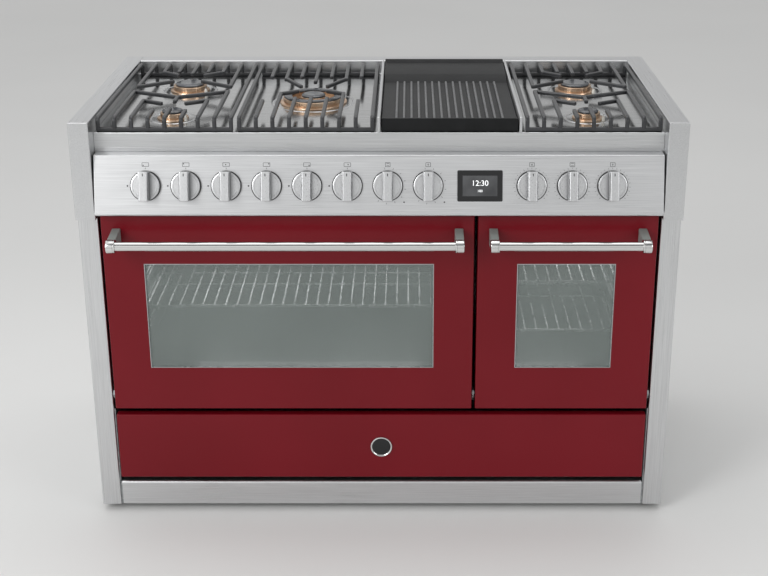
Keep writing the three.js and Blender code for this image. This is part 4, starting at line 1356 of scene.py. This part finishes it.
def knob_mark():
    y = grip_length / 2 - 6 * mm
    low, high = grip_height - 0.4 * mm, grip_height + 0.12 * mm
    return block(-0.9 * mm, 0.9 * mm, y - 2.6 * mm, y + 2.6 * mm, low, high, 0.1 * mm, 1)


# Thin plates on the grip's flanks, coloured nearly black as a painted dark reflection.
def knob_painted_reflection_plates():
    half, edge = grip_length / 2 - 1.6 * mm, 1.6 * mm
    low, high = disc_height + 0.6 * mm, grip_height - grip_chamfer - edge
    out, within = grip_width / 2 + 0.05 * mm, grip_width / 2 - 0.4 * mm
    sides = ((-out, -within), (within, out))
    return joined(*[block(x0, x1, -half, half, low, high, 0.04 * mm, 1) for x0, x1 in sides])


print("grip:", round(grip_length / mm), "by", round(grip_width / mm), "mm")

# %% All eleven knobs
for name in knob_names:
    stand = on_panel(box(name).x)
    body = mesh_of(moved(joined(knob_disc(), knob_grip()), stand))
    fit(put(f"{name}_steel", body, steel_upright), name, "brushed_steel", name)
    fit(put(f"{name}_flanks", mesh_of(moved(knob_painted_reflection_plates(), stand)), steel_painted_dark_reflection), name, "brushed_steel")
    fit(put(f"{name}_collar", mesh_of(moved(knob_painted_shade_ring(), stand)), black_plastic), name, "black_plastic")
    fit(put(f"{name}_mark", mesh_of(moved(knob_mark(), stand)), panel_ink), name, "black_plastic")
print("knobs:", len(knob_names), "of radius", round(knob_radius / mm, 1), "mm")

# %% [markdown]
# ## Print on the panel
#
# Dots, ticks and small pictograms say what each knob does. They are only a tenth of a millimetre thick.
# The ticks repeat round a circle, so the ring tree makes them. The pictograms are lines, swept with a
# flat section.

# %% Ticks, dots and strokes
ink_thickness = 0.10 * mm


def ticks(count, start, sweep, radius, width, length):
    sizes = {"Count": count, "Radius": radius, "Start": math.radians(start), "Sweep": math.radians(sweep)}
    sizes["Size"] = Vector((width, length, ink_thickness))
    return bmesh_of(grown(block_ring, panel_ink, sizes))


def dot(x, y, radius):
    half = ink_thickness / 2
    return shifted(turned([(0, -half), (radius, -half), (radius, half), (0, half)], 24), x, y)


def strokes(lines, closed=False):
    lines = [[(x * mm, y * mm, 0) for x, y in line] for line in lines]
    sizes = {"Width": 0.8 * mm, "Height": ink_thickness, "Bend radius": 0.5 * mm}
    return bmesh_of(grown(bar_sweep, panel_ink, sizes, chains(lines, closed)))


def square(half_width, half_height):
    w, h = half_width, half_height
    return [(-w, -h), (w, -h), (w, h), (-w, h)]


# %% Pictograms, one over each knob
# A burner's place on the hob: an outline of the hob with one filled dot.
def hob_symbol(column, row):
    outline = strokes([square(6.5, 3.6)], closed=True)
    return [outline, dot((-4.2 + 2.1 * column) * mm, (-1.5 + 3.0 * row) * mm, 1.15 * mm)]


oven_lines = {
    "fan": [[(-2, -2), (2, 2)], [(-2, 2), (2, -2)]],
    "heat": [[(-2.6, -2.1), (2.6, -2.1)], [(-2.6, 2.1), (2.6, 2.1)]],
    "degrees": [[(0, -2.4), (0, 2.4)], [(-1.4, 0), (1.4, 0)]],
}


def oven_symbol(kind):
    return [strokes([square(4.6, 3.9)], closed=True), strokes(oven_lines[kind])]


print("corners of a hob's outline in mm:", square(6.5, 3.6))

# %% The print round each knob
symbols = [hob_symbol(0, 0), hob_symbol(0, 1), hob_symbol(1.6, 0.5), hob_symbol(4, 1), hob_symbol(4, 0)]
symbols += [hob_symbol(2.7, 0.5), oven_symbol("heat"), oven_symbol("degrees")]
symbols += [oven_symbol("fan"), oven_symbol("heat"), oven_symbol("degrees")]
gas_taps, left_oven_knobs = 6, 2
symbol_height = 41.5 * mm
prints = []
for index, (name, symbol) in enumerate(zip(knob_names, symbols)):
    marks = [shifted(bm, y=symbol_height) for bm in symbol]
    if index < gas_taps:
        marks += [dot(-35.6 * mm, 0, 1.6 * mm), ticks(1, 0, 0, 34.2 * mm, 0.8 * mm, 3 * mm)]
    elif index < gas_taps + left_oven_knobs:
        marks += [ticks(9, -10, 250, 34.6 * mm, 0.7 * mm, 3 * mm), dot(31.8 * mm, -31.8 * mm, 1.5 * mm)]
    else:
        marks += [ticks(21, -135, 283, 34.4 * mm, 0.55 * mm, 2.6 * mm)]
    lifted = on_panel(box(name).x) @ Matrix.Translation((0, 0, ink_thickness / 2))
    prints.append(moved(joined(*marks), lifted))
fit(put("panel_print", mesh_of(joined(*prints)), panel_ink), "control_panel", "black_plastic")
print("printed marks for", len(prints), "knobs")

# %% [markdown]
# ## Display
#
# The clock is a black plastic frame round a grey screen with white digits. Text is a curve in Blender:
# it is turned into a mesh at the origin first, and only then moved into place.


# %% Helpers for the display
def round_rectangle(w, h, radius):
    return arcs_at_corners([(0, -h), (w, -h), (w, h), (-w, h), (-w, -h), (0, -h)], radius)[:-1]


def text_mesh(words, size):
    curve = bpy.data.curves.new("words", "FONT")
    curve.body = words
    curve.size = size
    curve.align_x = "CENTER"
    curve.align_y = "CENTER"
    curve.extrude = 0.06 * mm
    holder = bpy.data.objects.new("words", curve)
    bpy.context.scene.collection.objects.link(holder)
    depsgraph = bpy.context.evaluated_depsgraph_get()
    mesh = bpy.data.meshes.new_from_object(holder.evaluated_get(depsgraph))
    bpy.data.objects.remove(holder)
    return bmesh_of(mesh)


print("corners of a rounded rectangle:", len(round_rectangle(2 * mm, 1 * mm, 0.5 * mm)), "points")

# %% Display
display = box("display_unit")
w, h = (display.x1 - display.x0) / 2, 30.5 * mm
bezel = prism(round_rectangle(w, h, 2.5 * mm), "Z", touch, 2.5 * mm, 0.7 * mm, 3, angle=fold_angle)
inset = 3.3 * mm
back_box = block(-w + inset, w - inset, -h + inset, h - inset, -20 * mm, 1 * mm, 1 * mm)
bezel = mesh_of(moved(joined(bezel, back_box), on_panel(display.x)))
fit(put("display_bezel", bezel, gloss_black), "display_unit", "black_plastic", "display_unit")

screen = block(-34 * mm, 34 * mm, -20 * mm, 20 * mm, 2.4 * mm, 2.6 * mm, 0.08 * mm, 1)
screen = mesh_of(moved(screen, on_panel(display.x)))
fit(put("display_screen", screen, screen_glass), "display_unit", "black_plastic")

digit_level = 2.68 * mm
digits = shifted(text_mesh("12:30", 15 * mm), 0, 5 * mm, digit_level)
small_digits = shifted(text_mesh("180", 7 * mm), 0, -10 * mm, digit_level)
digits = mesh_of(moved(joined(digits, small_digits), on_panel(display.x)))
fit(put("display_digits", digits, digits_light), "display_unit", "black_plastic")
print("display at x", round(display.x / mm), "mm")

# %% [markdown]
# ## Handles
#
# A handle is a polished tube between two ferrules, on short brackets. The tube and the ferrules are one
# turned profile along X, with a groove where a ferrule meets the tube. The brackets taper from the door
# to the ferrule, and are coloured silver grey, a painted reflection of their metal. Three cylinders would
# do too, but a single profile leaves no seam.

# %% Handles
tube_radius = 9.3 * mm
ferrule_radius = 13.5 * mm
ferrule_length = 17.5 * mm
lay_along_x = Matrix.Rotation(math.radians(90), 4, "Y")


def handle_tube(length):
    r, f, w = tube_radius, ferrule_radius, ferrule_length
    end = [(0, 0), (f - 2.2 * mm, 0), (f - 0.6 * mm, 0.7 * mm), (f, 2.4 * mm), (f, w - 4.2 * mm)]
    end += [(f - 0.8 * mm, w - 3.8 * mm), (f - 0.8 * mm, w - 3.2 * mm), (f, w - 2.8 * mm)]
    end += [(f, w - 0.9 * mm), (f - 0.9 * mm, w), (r + 0.5 * mm, w), (r, w + 0.2 * mm)]
    return turned(end + [(radius, length - along) for radius, along in reversed(end)], 64)


for side in ("left", "right"):
    node = f"door_handle_{side}"
    grip = box(node)
    centre_y = grip.y0 + ferrule_radius
    tube = shifted(moved(handle_tube(grip.x1 - grip.x0), lay_along_x), grip.x0, centre_y, grip.z)
    slim = ferrule_radius * 0.8
    outline = [(grip.y1, grip.z0), (grip.y1, grip.z1)]
    outline += [(centre_y, grip.z + slim), (centre_y, grip.z - slim)]
    brackets = []
    for x in (grip.x0, grip.x1 - ferrule_length):
        brackets.append(prism(outline, "X", x + 0.4 * mm, x + ferrule_length - 0.4 * mm, 1.6 * mm, 3))
    fit(put(f"handle_{side}_tube", mesh_of(tube), polished_steel), node, "chrome", node)
    fit(put(f"handle_{side}_brackets", mesh_of(joined(*brackets)), bracket_grey_painted_reflection), node, "chrome")
print("handles: tube", round(2 * tube_radius / mm, 1), "mm across")

# %% [markdown]
# ## Inside the doors
#
# A window is a tinted pane behind the opening. Between it and the inner pane a black liner closes the
# door, so that no insulation shows. The inner pane is clear in the middle and has a black ceramic
# border, fired on. Each surround is four plain bars, which is simpler than cutting a hole, and the
# joints in the corners are hidden.


# %% Frames round an opening
def widened(area, by):
    return SimpleNamespace(x0=area.x0 - by, x1=area.x1 + by, z0=area.z0 - by, z1=area.z1 + by)


def frame_ring(inner, outer, y0, y1, edge=0.3 * mm):
    return joined(
        block(outer.x0, outer.x1, y0, y1, outer.z0, inner.z0, edge, 2),
        block(outer.x0, outer.x1, y0, y1, inner.z1, outer.z1, edge, 2),
        block(outer.x0, inner.x0, y0, y1, inner.z0, inner.z1, edge, 2),
        block(inner.x1, outer.x1, y0, y1, inner.z0, inner.z1, edge, 2),
    )


print("each of the", len(windows), "windows gets frames of four bars")

# %% Windows, liners and inner panes
for side, hole in windows.items():
    skin, pane = box(f"door_skin_{side}"), box(f"door_window_{side}")
    inner = box(f"door_inner_glass_{side}")
    refinish(f"door_window_{side}", tinted_glass_painted_reflection)
    trim = frame_ring(widened(hole, -1.6 * mm), widened(hole, -0.05 * mm), skin.y0 + 0.2 * mm, pane.y0)
    fit(put(f"window_trim_{side}", mesh_of(trim), bright_zinc), f"door_skin_{side}", "chrome")
    tunnel = frame_ring(widened(hole, 2 * mm), widened(hole, 4 * mm), pane.y1 + touch, inner.y0 - touch)
    fit(put(f"door_liner_{side}", mesh_of(tunnel), cavity_enamel), f"door_skin_{side}", "oven_enamel")
    clear = widened(hole, 6 * mm)
    middle = block(clear.x0, clear.x1, inner.y0, inner.y1, clear.z0, clear.z1, 0.2 * mm, 1)
    node = f"door_inner_glass_{side}"
    fit(put(f"inner_pane_{side}", mesh_of(middle), clear_glass), node, "glass", node)
    border = frame_ring(clear, inner, inner.y0, inner.y1, 0.4 * mm)
    fit(put(f"inner_pane_border_{side}", mesh_of(border), frit_black), node, "glass")
print("windows:", {side: round((hole.x1 - hole.x0) / mm) for side, hole in windows.items()}, "mm wide")

# %% [markdown]
# ## Racks and side ladders
#
# The racks and the ladders that carry them are bent from round wire. The wire tree follows their lines
# and rounds the corners. Each rail of a ladder is a long hairpin of thin wire.


# %% Round wire
wire_bend = 6 * mm


def wires(lines, width, finish, closed=False, bend=wire_bend):
    sizes = {"Width": width, "Height": width, "Bend radius": bend}
    bm = bmesh_of(grown(wire_sweep, finish, sizes, chains(lines, closed)))
    bmesh.ops.remove_doubles(bm, verts=bm.verts, dist=weld)
    bmesh.ops.recalc_face_normals(bm, faces=bm.faces)
    return bm


print("wires bend on a radius of", round(wire_bend / mm), "mm")

# %% Racks
thick, thin = 6 * mm, 4 * mm
two_spaces = 49 * mm


def oven_rack(node):
    rack = box(node)
    x0, x1, y0, y1 = rack.x0 + thick / 2, rack.x1 - thick / 2, rack.y0 + thick / 2, rack.y1 - thick / 2
    loop = [(x0, y0, rack.z), (x1, y0, rack.z), (x1, y1, rack.z), (x0, y1, rack.z)]
    count = round((rack.x1 - rack.x0) / two_spaces) * 2 - 1
    level = rack.z1 - thin / 2 - 0.2 * mm
    lines = []
    for i in range(count):
        x = rack.x0 + (rack.x1 - rack.x0) * (i + 1) / (count + 1)
        lines.append([(x, y0, level), (x, y1, level)])
    lines.append([(x0, rack.y, rack.z0 + thin / 2), (x1, rack.y, rack.z0 + thin / 2)])
    shape = joined(wires([loop], thick, chrome_wire, True), wires(lines, thin, chrome_wire))
    fit(put(f"{node}_wires", mesh_of(shape), chrome_wire), node, "chrome", node)
    return count


racks = ("oven_rack_left", "oven_rack_right_lower", "oven_rack_right_upper")
print("wires in the racks:", [oven_rack(node) for node in racks])

# %% Side ladders
post, reach, wire = 5 * mm, 11 * mm, 4 * mm
rails, rail_pitch = 4, 55 * mm


def side_ladders(node):
    ladder = box(node)
    levels = [ladder.z1 - post - rail_pitch * i for i in range(rails)]
    y0, y1, top = ladder.y0 + post / 2, ladder.y1 - post / 2, ladder.z1 - post / 2
    posts, hairpins = [], []
    for wall_x, inward in ((ladder.x0, 1), (ladder.x1, -1)):
        x = wall_x + inward * post / 2
        posts.append([(x, y0, ladder.z0), (x, y0, top), (x, y1, top), (x, y1, ladder.z0)])
        near, far = wall_x + inward * wire / 2, wall_x + inward * (reach - wire / 2)
        for level in levels:
            z = level - wire / 2
            hairpins.append([(near, y0, z), (far, y0, z), (far, y1, z), (near, y1, z)])
    for z in (ladder.z0 + post / 2, levels[0] - post / 2):
        posts.append([(ladder.x0, y1, z), (ladder.x1, y1, z)])
    shape = joined(wires(posts, post, chrome_wire), wires(hairpins, wire, chrome_wire, True, 4 * mm))
    fit(put(f"{node}_wires", mesh_of(shape), chrome_wire), node, "chrome", node)


for side in ("left", "right"):
    side_ladders(f"rack_frame_{side}")
print("rails on each side:", rails)

# %% [markdown]
# ## Heaters, lamps and seals
#
# The grill element under an oven's roof is a steel tube bent to and fro. A lamp with a glass lens sits
# in the back wall, and a seal of braided glass fibre lies round each mouth, in the 4 mm between the
# oven and its door.

# %% Each oven's mouth and back wall
back_sheet = 2 * mm
ovens = {}
for side in ("left", "right"):
    ladder, cavity, skin = box(f"rack_frame_{side}"), box(f"oven_cavity_{side}"), box(f"door_skin_{side}")
    ovens[side] = SimpleNamespace(
        x0=ladder.x0 - touch, x1=ladder.x1 + touch, z0=ladder.z0 - touch, z1=skin.z1 - 50 * mm,
        near=ladder.y0, back=cavity.y1 - back_sheet, seal_y=(skin.y1 + cavity.y0) / 2 + 0.75 * mm
    )
print("mouths:", {side: round((oven.x1 - oven.x0) / mm) for side, oven in ovens.items()}, "mm wide")


# %% Grill elements
def grill_path(oven, z):
    inset = 40 * mm
    reach = (oven.x1 - oven.x0 - 2 * inset) / 5
    near, far = oven.near + 60 * mm, oven.back - 60 * mm
    path = [(oven.x0 + inset, oven.back, z)]
    for i in range(6):
        x = oven.x0 + inset + i * reach
        path += [(x, far, z), (x, near, z)] if i % 2 == 0 else [(x, near, z), (x, far, z)]
    return path + [(oven.x1 - inset, oven.back, z)]


def grill_element(oven):
    return wires([grill_path(oven, oven.z1 - 16 * mm)], 6.4 * mm, heater_sheath, bend=20 * mm)


print("points along a grill element:", len(grill_path(ovens["left"], 0)))

# %% Lamps and door seals
face_front = Matrix.Rotation(math.radians(90), 4, "X")
lens_profile = [(0, 0), (24 * mm, 0), (24 * mm, 3 * mm), (22 * mm, 4 * mm), (19 * mm, 9 * mm)]
lens_profile += [(10 * mm, 12 * mm), (0, 12.6 * mm)]


def lamp_lens(oven):
    lens = moved(turned(lens_profile, 40), face_front)
    return shifted(lens, oven.x1 - 60 * mm, oven.back, oven.z1 - 45 * mm)


def door_seal(oven):
    loop = [tuple(p) for p in rectangle(widened(oven, 9 * mm), oven.seal_y)]
    sizes = {"Width": 3.2 * mm, "Height": 9 * mm, "Bend radius": 14 * mm}
    seal = bmesh_of(grown(bar_sweep, seal_braid, sizes, chains([loop], True)))
    bmesh.ops.recalc_face_normals(seal, faces=seal.faces)
    return round_edges(seal, 1.2 * mm, 3, angle=fold_angle)


for side, oven in ovens.items():
    cavity = f"oven_cavity_{side}"
    fit(put(f"grill_element_{side}", mesh_of(grill_element(oven)), heater_sheath), cavity, "oven_enamel")
    fit(put(f"oven_lamp_{side}", mesh_of(lamp_lens(oven)), lamp_glass), cavity, "glass")
    fit(put(f"door_seal_{side}", mesh_of(door_seal(oven)), seal_braid), cavity, "black_plastic")
print("grill elements, lamps and seals: one for each of", len(ovens), "ovens")

# %% [markdown]
# ## Badge
#
# The round badge on the drawer is a plain black disc in a chrome ring. Two turned profiles make it. The
# ring's top is rounded like the real one, so that a bright line runs round it, and the disc lies a
# little lower.

# %% Badge
badge = box("drawer_badge")
r, t = (badge.x1 - badge.x0) / 2, badge.y1 - badge.y0
profile = [(r - 4.4 * mm, 0), (r, 0), (r, t * 0.55), (r - 0.7 * mm, t * 0.86), (r - 1.9 * mm, t)]
profile += [(r - 3.2 * mm, t * 0.86), (r - 4.2 * mm, t * 0.5), (r - 4.4 * mm, 0)]
ring = mesh_of(shifted(moved(turned(profile, 72), face_front), badge.x, badge.y1, badge.z))
fit(put("badge_ring", ring, polished_steel), "drawer_badge", "chrome", "drawer_badge")
profile = [(0, 0), (r - 4.0 * mm, 0), (r - 4.0 * mm, t * 0.5), (r - 5 * mm, t * 0.6), (0, t * 0.64)]
disc = mesh_of(shifted(moved(turned(profile, 72), face_front), badge.x, badge.y1, badge.z))
fit(put("badge_disc", disc, gloss_black), "drawer_badge", "black_plastic")
print("badge", round(2 * r / mm), "mm across")

# %% [markdown]
# ## Feet
#
# The feet screw in and out to level the cooker: a black plastic pad under a threaded zinc-plated stem.
# Both are turned. The thread is drawn as four rings, because a true helix would not show.


# %% Feet
def foot_pad(r, h):
    profile = [(0, 0), (r - 1.5 * mm, 0), (r, 1.2 * mm), (r, h * 0.24), (r - 2 * mm, h * 0.36)]
    return turned(profile + [(r * 0.5, h * 0.46), (r * 0.5, h * 0.6), (0, h * 0.6)], 40)


def foot_stem(h):
    profile = [(0, h * 0.5)]
    for i in range(4):
        z = h * (0.5 + 0.11 * i)
        profile += [(5.0 * mm, z), (6.0 * mm, z + h * 0.055)]
    return turned(profile + [(5.0 * mm, h), (0, h)], 24)


feet = [f"foot_{end}_{side}" for end in ("front", "rear") for side in ("left", "right")]
for node in feet:
    foot = box(node)
    r, h = (foot.x1 - foot.x0) / 2, foot.z1 - foot.z0
    pad, stem = shifted(foot_pad(r, h), foot.x, foot.y), shifted(foot_stem(h), foot.x, foot.y)
    fit(put(f"{node}_pad", mesh_of(pad), black_plastic), node, "black_plastic", node)
    fit(put(f"{node}_stem", mesh_of(stem), bright_zinc), node, "chrome")
print("feet:", len(feet))

# %% [markdown]
# ## The back
#
# Nobody sees the back, but it is made with care too: louvres let warm air out, and washer-head screws
# hold the cover. Both repeat, so the row tree and the screw tree make them.

# %% Louvres
back_panel = box("back_panel")
back_face = back_panel.y1 - 22 * mm
louvre_count = 10
louvre_size = Vector((200 * mm, 3.2 * mm, 5 * mm))
louvre_step = Vector((0, 0, 16 * mm))
rows = []
for x in (-270 * mm, 0.0):
    sizes = {"Count": louvre_count, "First": Vector((x, back_face + 1.2 * mm, 450 * mm))}
    sizes.update({"Size": louvre_size, "Step": louvre_step})
    rows.append(round_edges(bmesh_of(grown(block_row, galvanised, sizes)), 1.5 * mm, 3))
fit(put("back_louvres", mesh_of(joined(*rows)), galvanised), "back_panel", "galvanised")
print("louvres:", louvre_count * len(rows))

# %% Screws
screw_size = 5 * mm
y = back_face + screw_size * 0.2
points = [(x * mm, y, z * mm) for z in (95, 810) for x in range(-500, 501, 200)]
points += [(x * mm, y, z * mm) for x in (-545, 545) for z in (250, 400, 550, 700)]
sizes = {"Size": screw_size, "Turn": Vector((math.radians(90), 0, 0))}
screws = bmesh_of(grown(screw_heads, bright_zinc, sizes, chains([[p] for p in points])))
round_edges(screws, 0.25 * mm, 1)
fit(put("back_screws", mesh_of(screws), bright_zinc), "back_panel", "chrome")
print("screws on the back:", len(points))

# %% [markdown]
# ## Floor and lamps
#
# A pale floor and soft light from large lamps show the colours as they are. The ovens are nearly black
# inside, so each has a narrow lamp of its own under the roof, at the back. It shines on the racks
# towards the window, because light from outside would only whiten the glass.

# %% Floor
floor_colour = "#DCDCDB"
floor_patch = 1.0


def stage_floor():
    material, tree, surface, place = start_finish("studio_floor", {"Roughness": 0.7})
    vary(tree, surface, cloud(tree, place, floor_patch), (shaded(floor_colour, 0.99), floor_colour))
    bm = bmesh.new()
    bmesh.ops.create_grid(bm, x_segments=2, y_segments=2, size=20)
    return put("studio_floor", mesh_of(bm), material)


stage_floor()
print("floor colour", floor_colour)


# %% Lamps round the cooker and in the ovens
# A softbox stands at a place, faces its aim, and has a width and a height in metres and a power in watts.
def softbox(name, place, aim, width, height, power):
    data = bpy.data.lights.new(name, "AREA")
    data.shape = "RECTANGLE"
    data.size = width
    data.size_y = height
    data.energy = power
    lamp = bpy.data.objects.new(name, data)
    lamp.location = place
    lamp.rotation_euler = (Vector(aim) - Vector(place)).to_track_quat("-Z", "Y").to_euler()
    bpy.context.scene.collection.objects.link(lamp)


softbox("key_left", (-2.4, -2.8, 2.4), (-0.2, 0, 0.6), 1.4, 2.2, 60)
softbox("fill_right", (2.8, -2.4, 1.8), (0.4, -0.4, 0.2), 1.6, 1.6, 22)
softbox("top", (0, 0.5, 3.2), (0, 0, 0.8), 2.4, 1.6, 20)

oven_light_height = 50 * mm
watts_per_metre = 0.9
for side in ("left", "right"):
    oven = box(f"rack_frame_{side}")
    wide = (oven.x1 - oven.x0) * 0.85
    place, aim = (oven.x, oven.y1 - 20 * mm, oven.z1 + 10 * mm), (oven.x, oven.y0, oven.z)
    softbox(f"oven_light_{side}", place, aim, wide, oven_light_height, wide * watts_per_metre)
print("lamps:", len(bpy.data.lights))

# %% [markdown]
# ## The world
#
# Steel shows little but what it reflects, so the world is not one flat grey. It gets lighter upwards,
# and it is brighter on the left than on the right, which shades the tubes and the knobs. Behind the
# cooker a slightly darker band lies above the horizon, which calms the hob. High in front a narrow dark
# band makes the thin dark line along the polished handles. Each band is a product of ramps along the
# three axes. A picture of a studio could do the same, but ramps are only a few numbers, and they are
# easy to change.

# %% World
world = bpy.data.worlds.new("studio")
world.use_nodes = True
bpy.context.scene.world = world
sky = world.node_tree
background = sky.nodes["Background"].inputs
direction = add_node(sky, "ShaderNodeTexCoord").outputs["Generated"]
axes = add_node(sky, "ShaderNodeSeparateXYZ", {0: direction}).outputs

# Each ramp: the direction's axis, where it starts and ends, and the value before and after.
ramps = {
    "height": ("Z", -0.05, 0.7, 0, 1),
    "from_left": ("X", -0.5, 0.7, 1.2, 0.65),
    "behind": ("Y", -0.1, 0.5, 0, 1),
    "above_horizon": ("Z", 0.14, 0.26, 0, 1),
    "above_gap": ("Z", 0.60, 0.64, 0, 1),
    "below_gap": ("Z", 0.84, 0.88, 1, 0),
    "in_front": ("Y", -0.45, -0.25, 1, 0),
}
ramp = {}
for name, (axis, start, end, before, after) in ramps.items():
    sockets = {"Value": axes[axis], "From Min": start, "From Max": end, "To Min": before, "To Max": after}
    ramp[name] = add_node(sky, "ShaderNodeMapRange", sockets).outputs["Result"]


# Takes the light down to a share of itself where all of a band's ramps are high.
def dimmed(light, share, *band):
    inside = band[0]
    for part in band[1:]:
        inside = add_node(sky, "ShaderNodeMath", {0: inside, 1: part}, operation="MULTIPLY").outputs[0]
    sockets = {"Value": inside, "To Min": 1.0, "To Max": share}
    left = add_node(sky, "ShaderNodeMapRange", sockets).outputs["Result"]
    return add_node(sky, "ShaderNodeMath", {0: light, 1: left}, operation="MULTIPLY").outputs[0]


sockets = {"Factor": ramp["height"], 6: linear("#E4E4E4"), 7: linear("#F4F4F4")}
add_node(sky, "ShaderNodeMix", sockets, {2: background["Color"]}, data_type="RGBA")
glow = dimmed(ramp["from_left"], 0.7, ramp["behind"], ramp["above_horizon"])
glow = dimmed(glow, 0.15, ramp["above_gap"], ramp["below_gap"], ramp["in_front"])
sky.links.new(glow, background["Strength"])
print("ramps in the sky:", len(ramps))

# %% [markdown]
#
# The Standard view shows colours as they are written.

bpy.context.scene.view_settings.view_transform = "Standard"
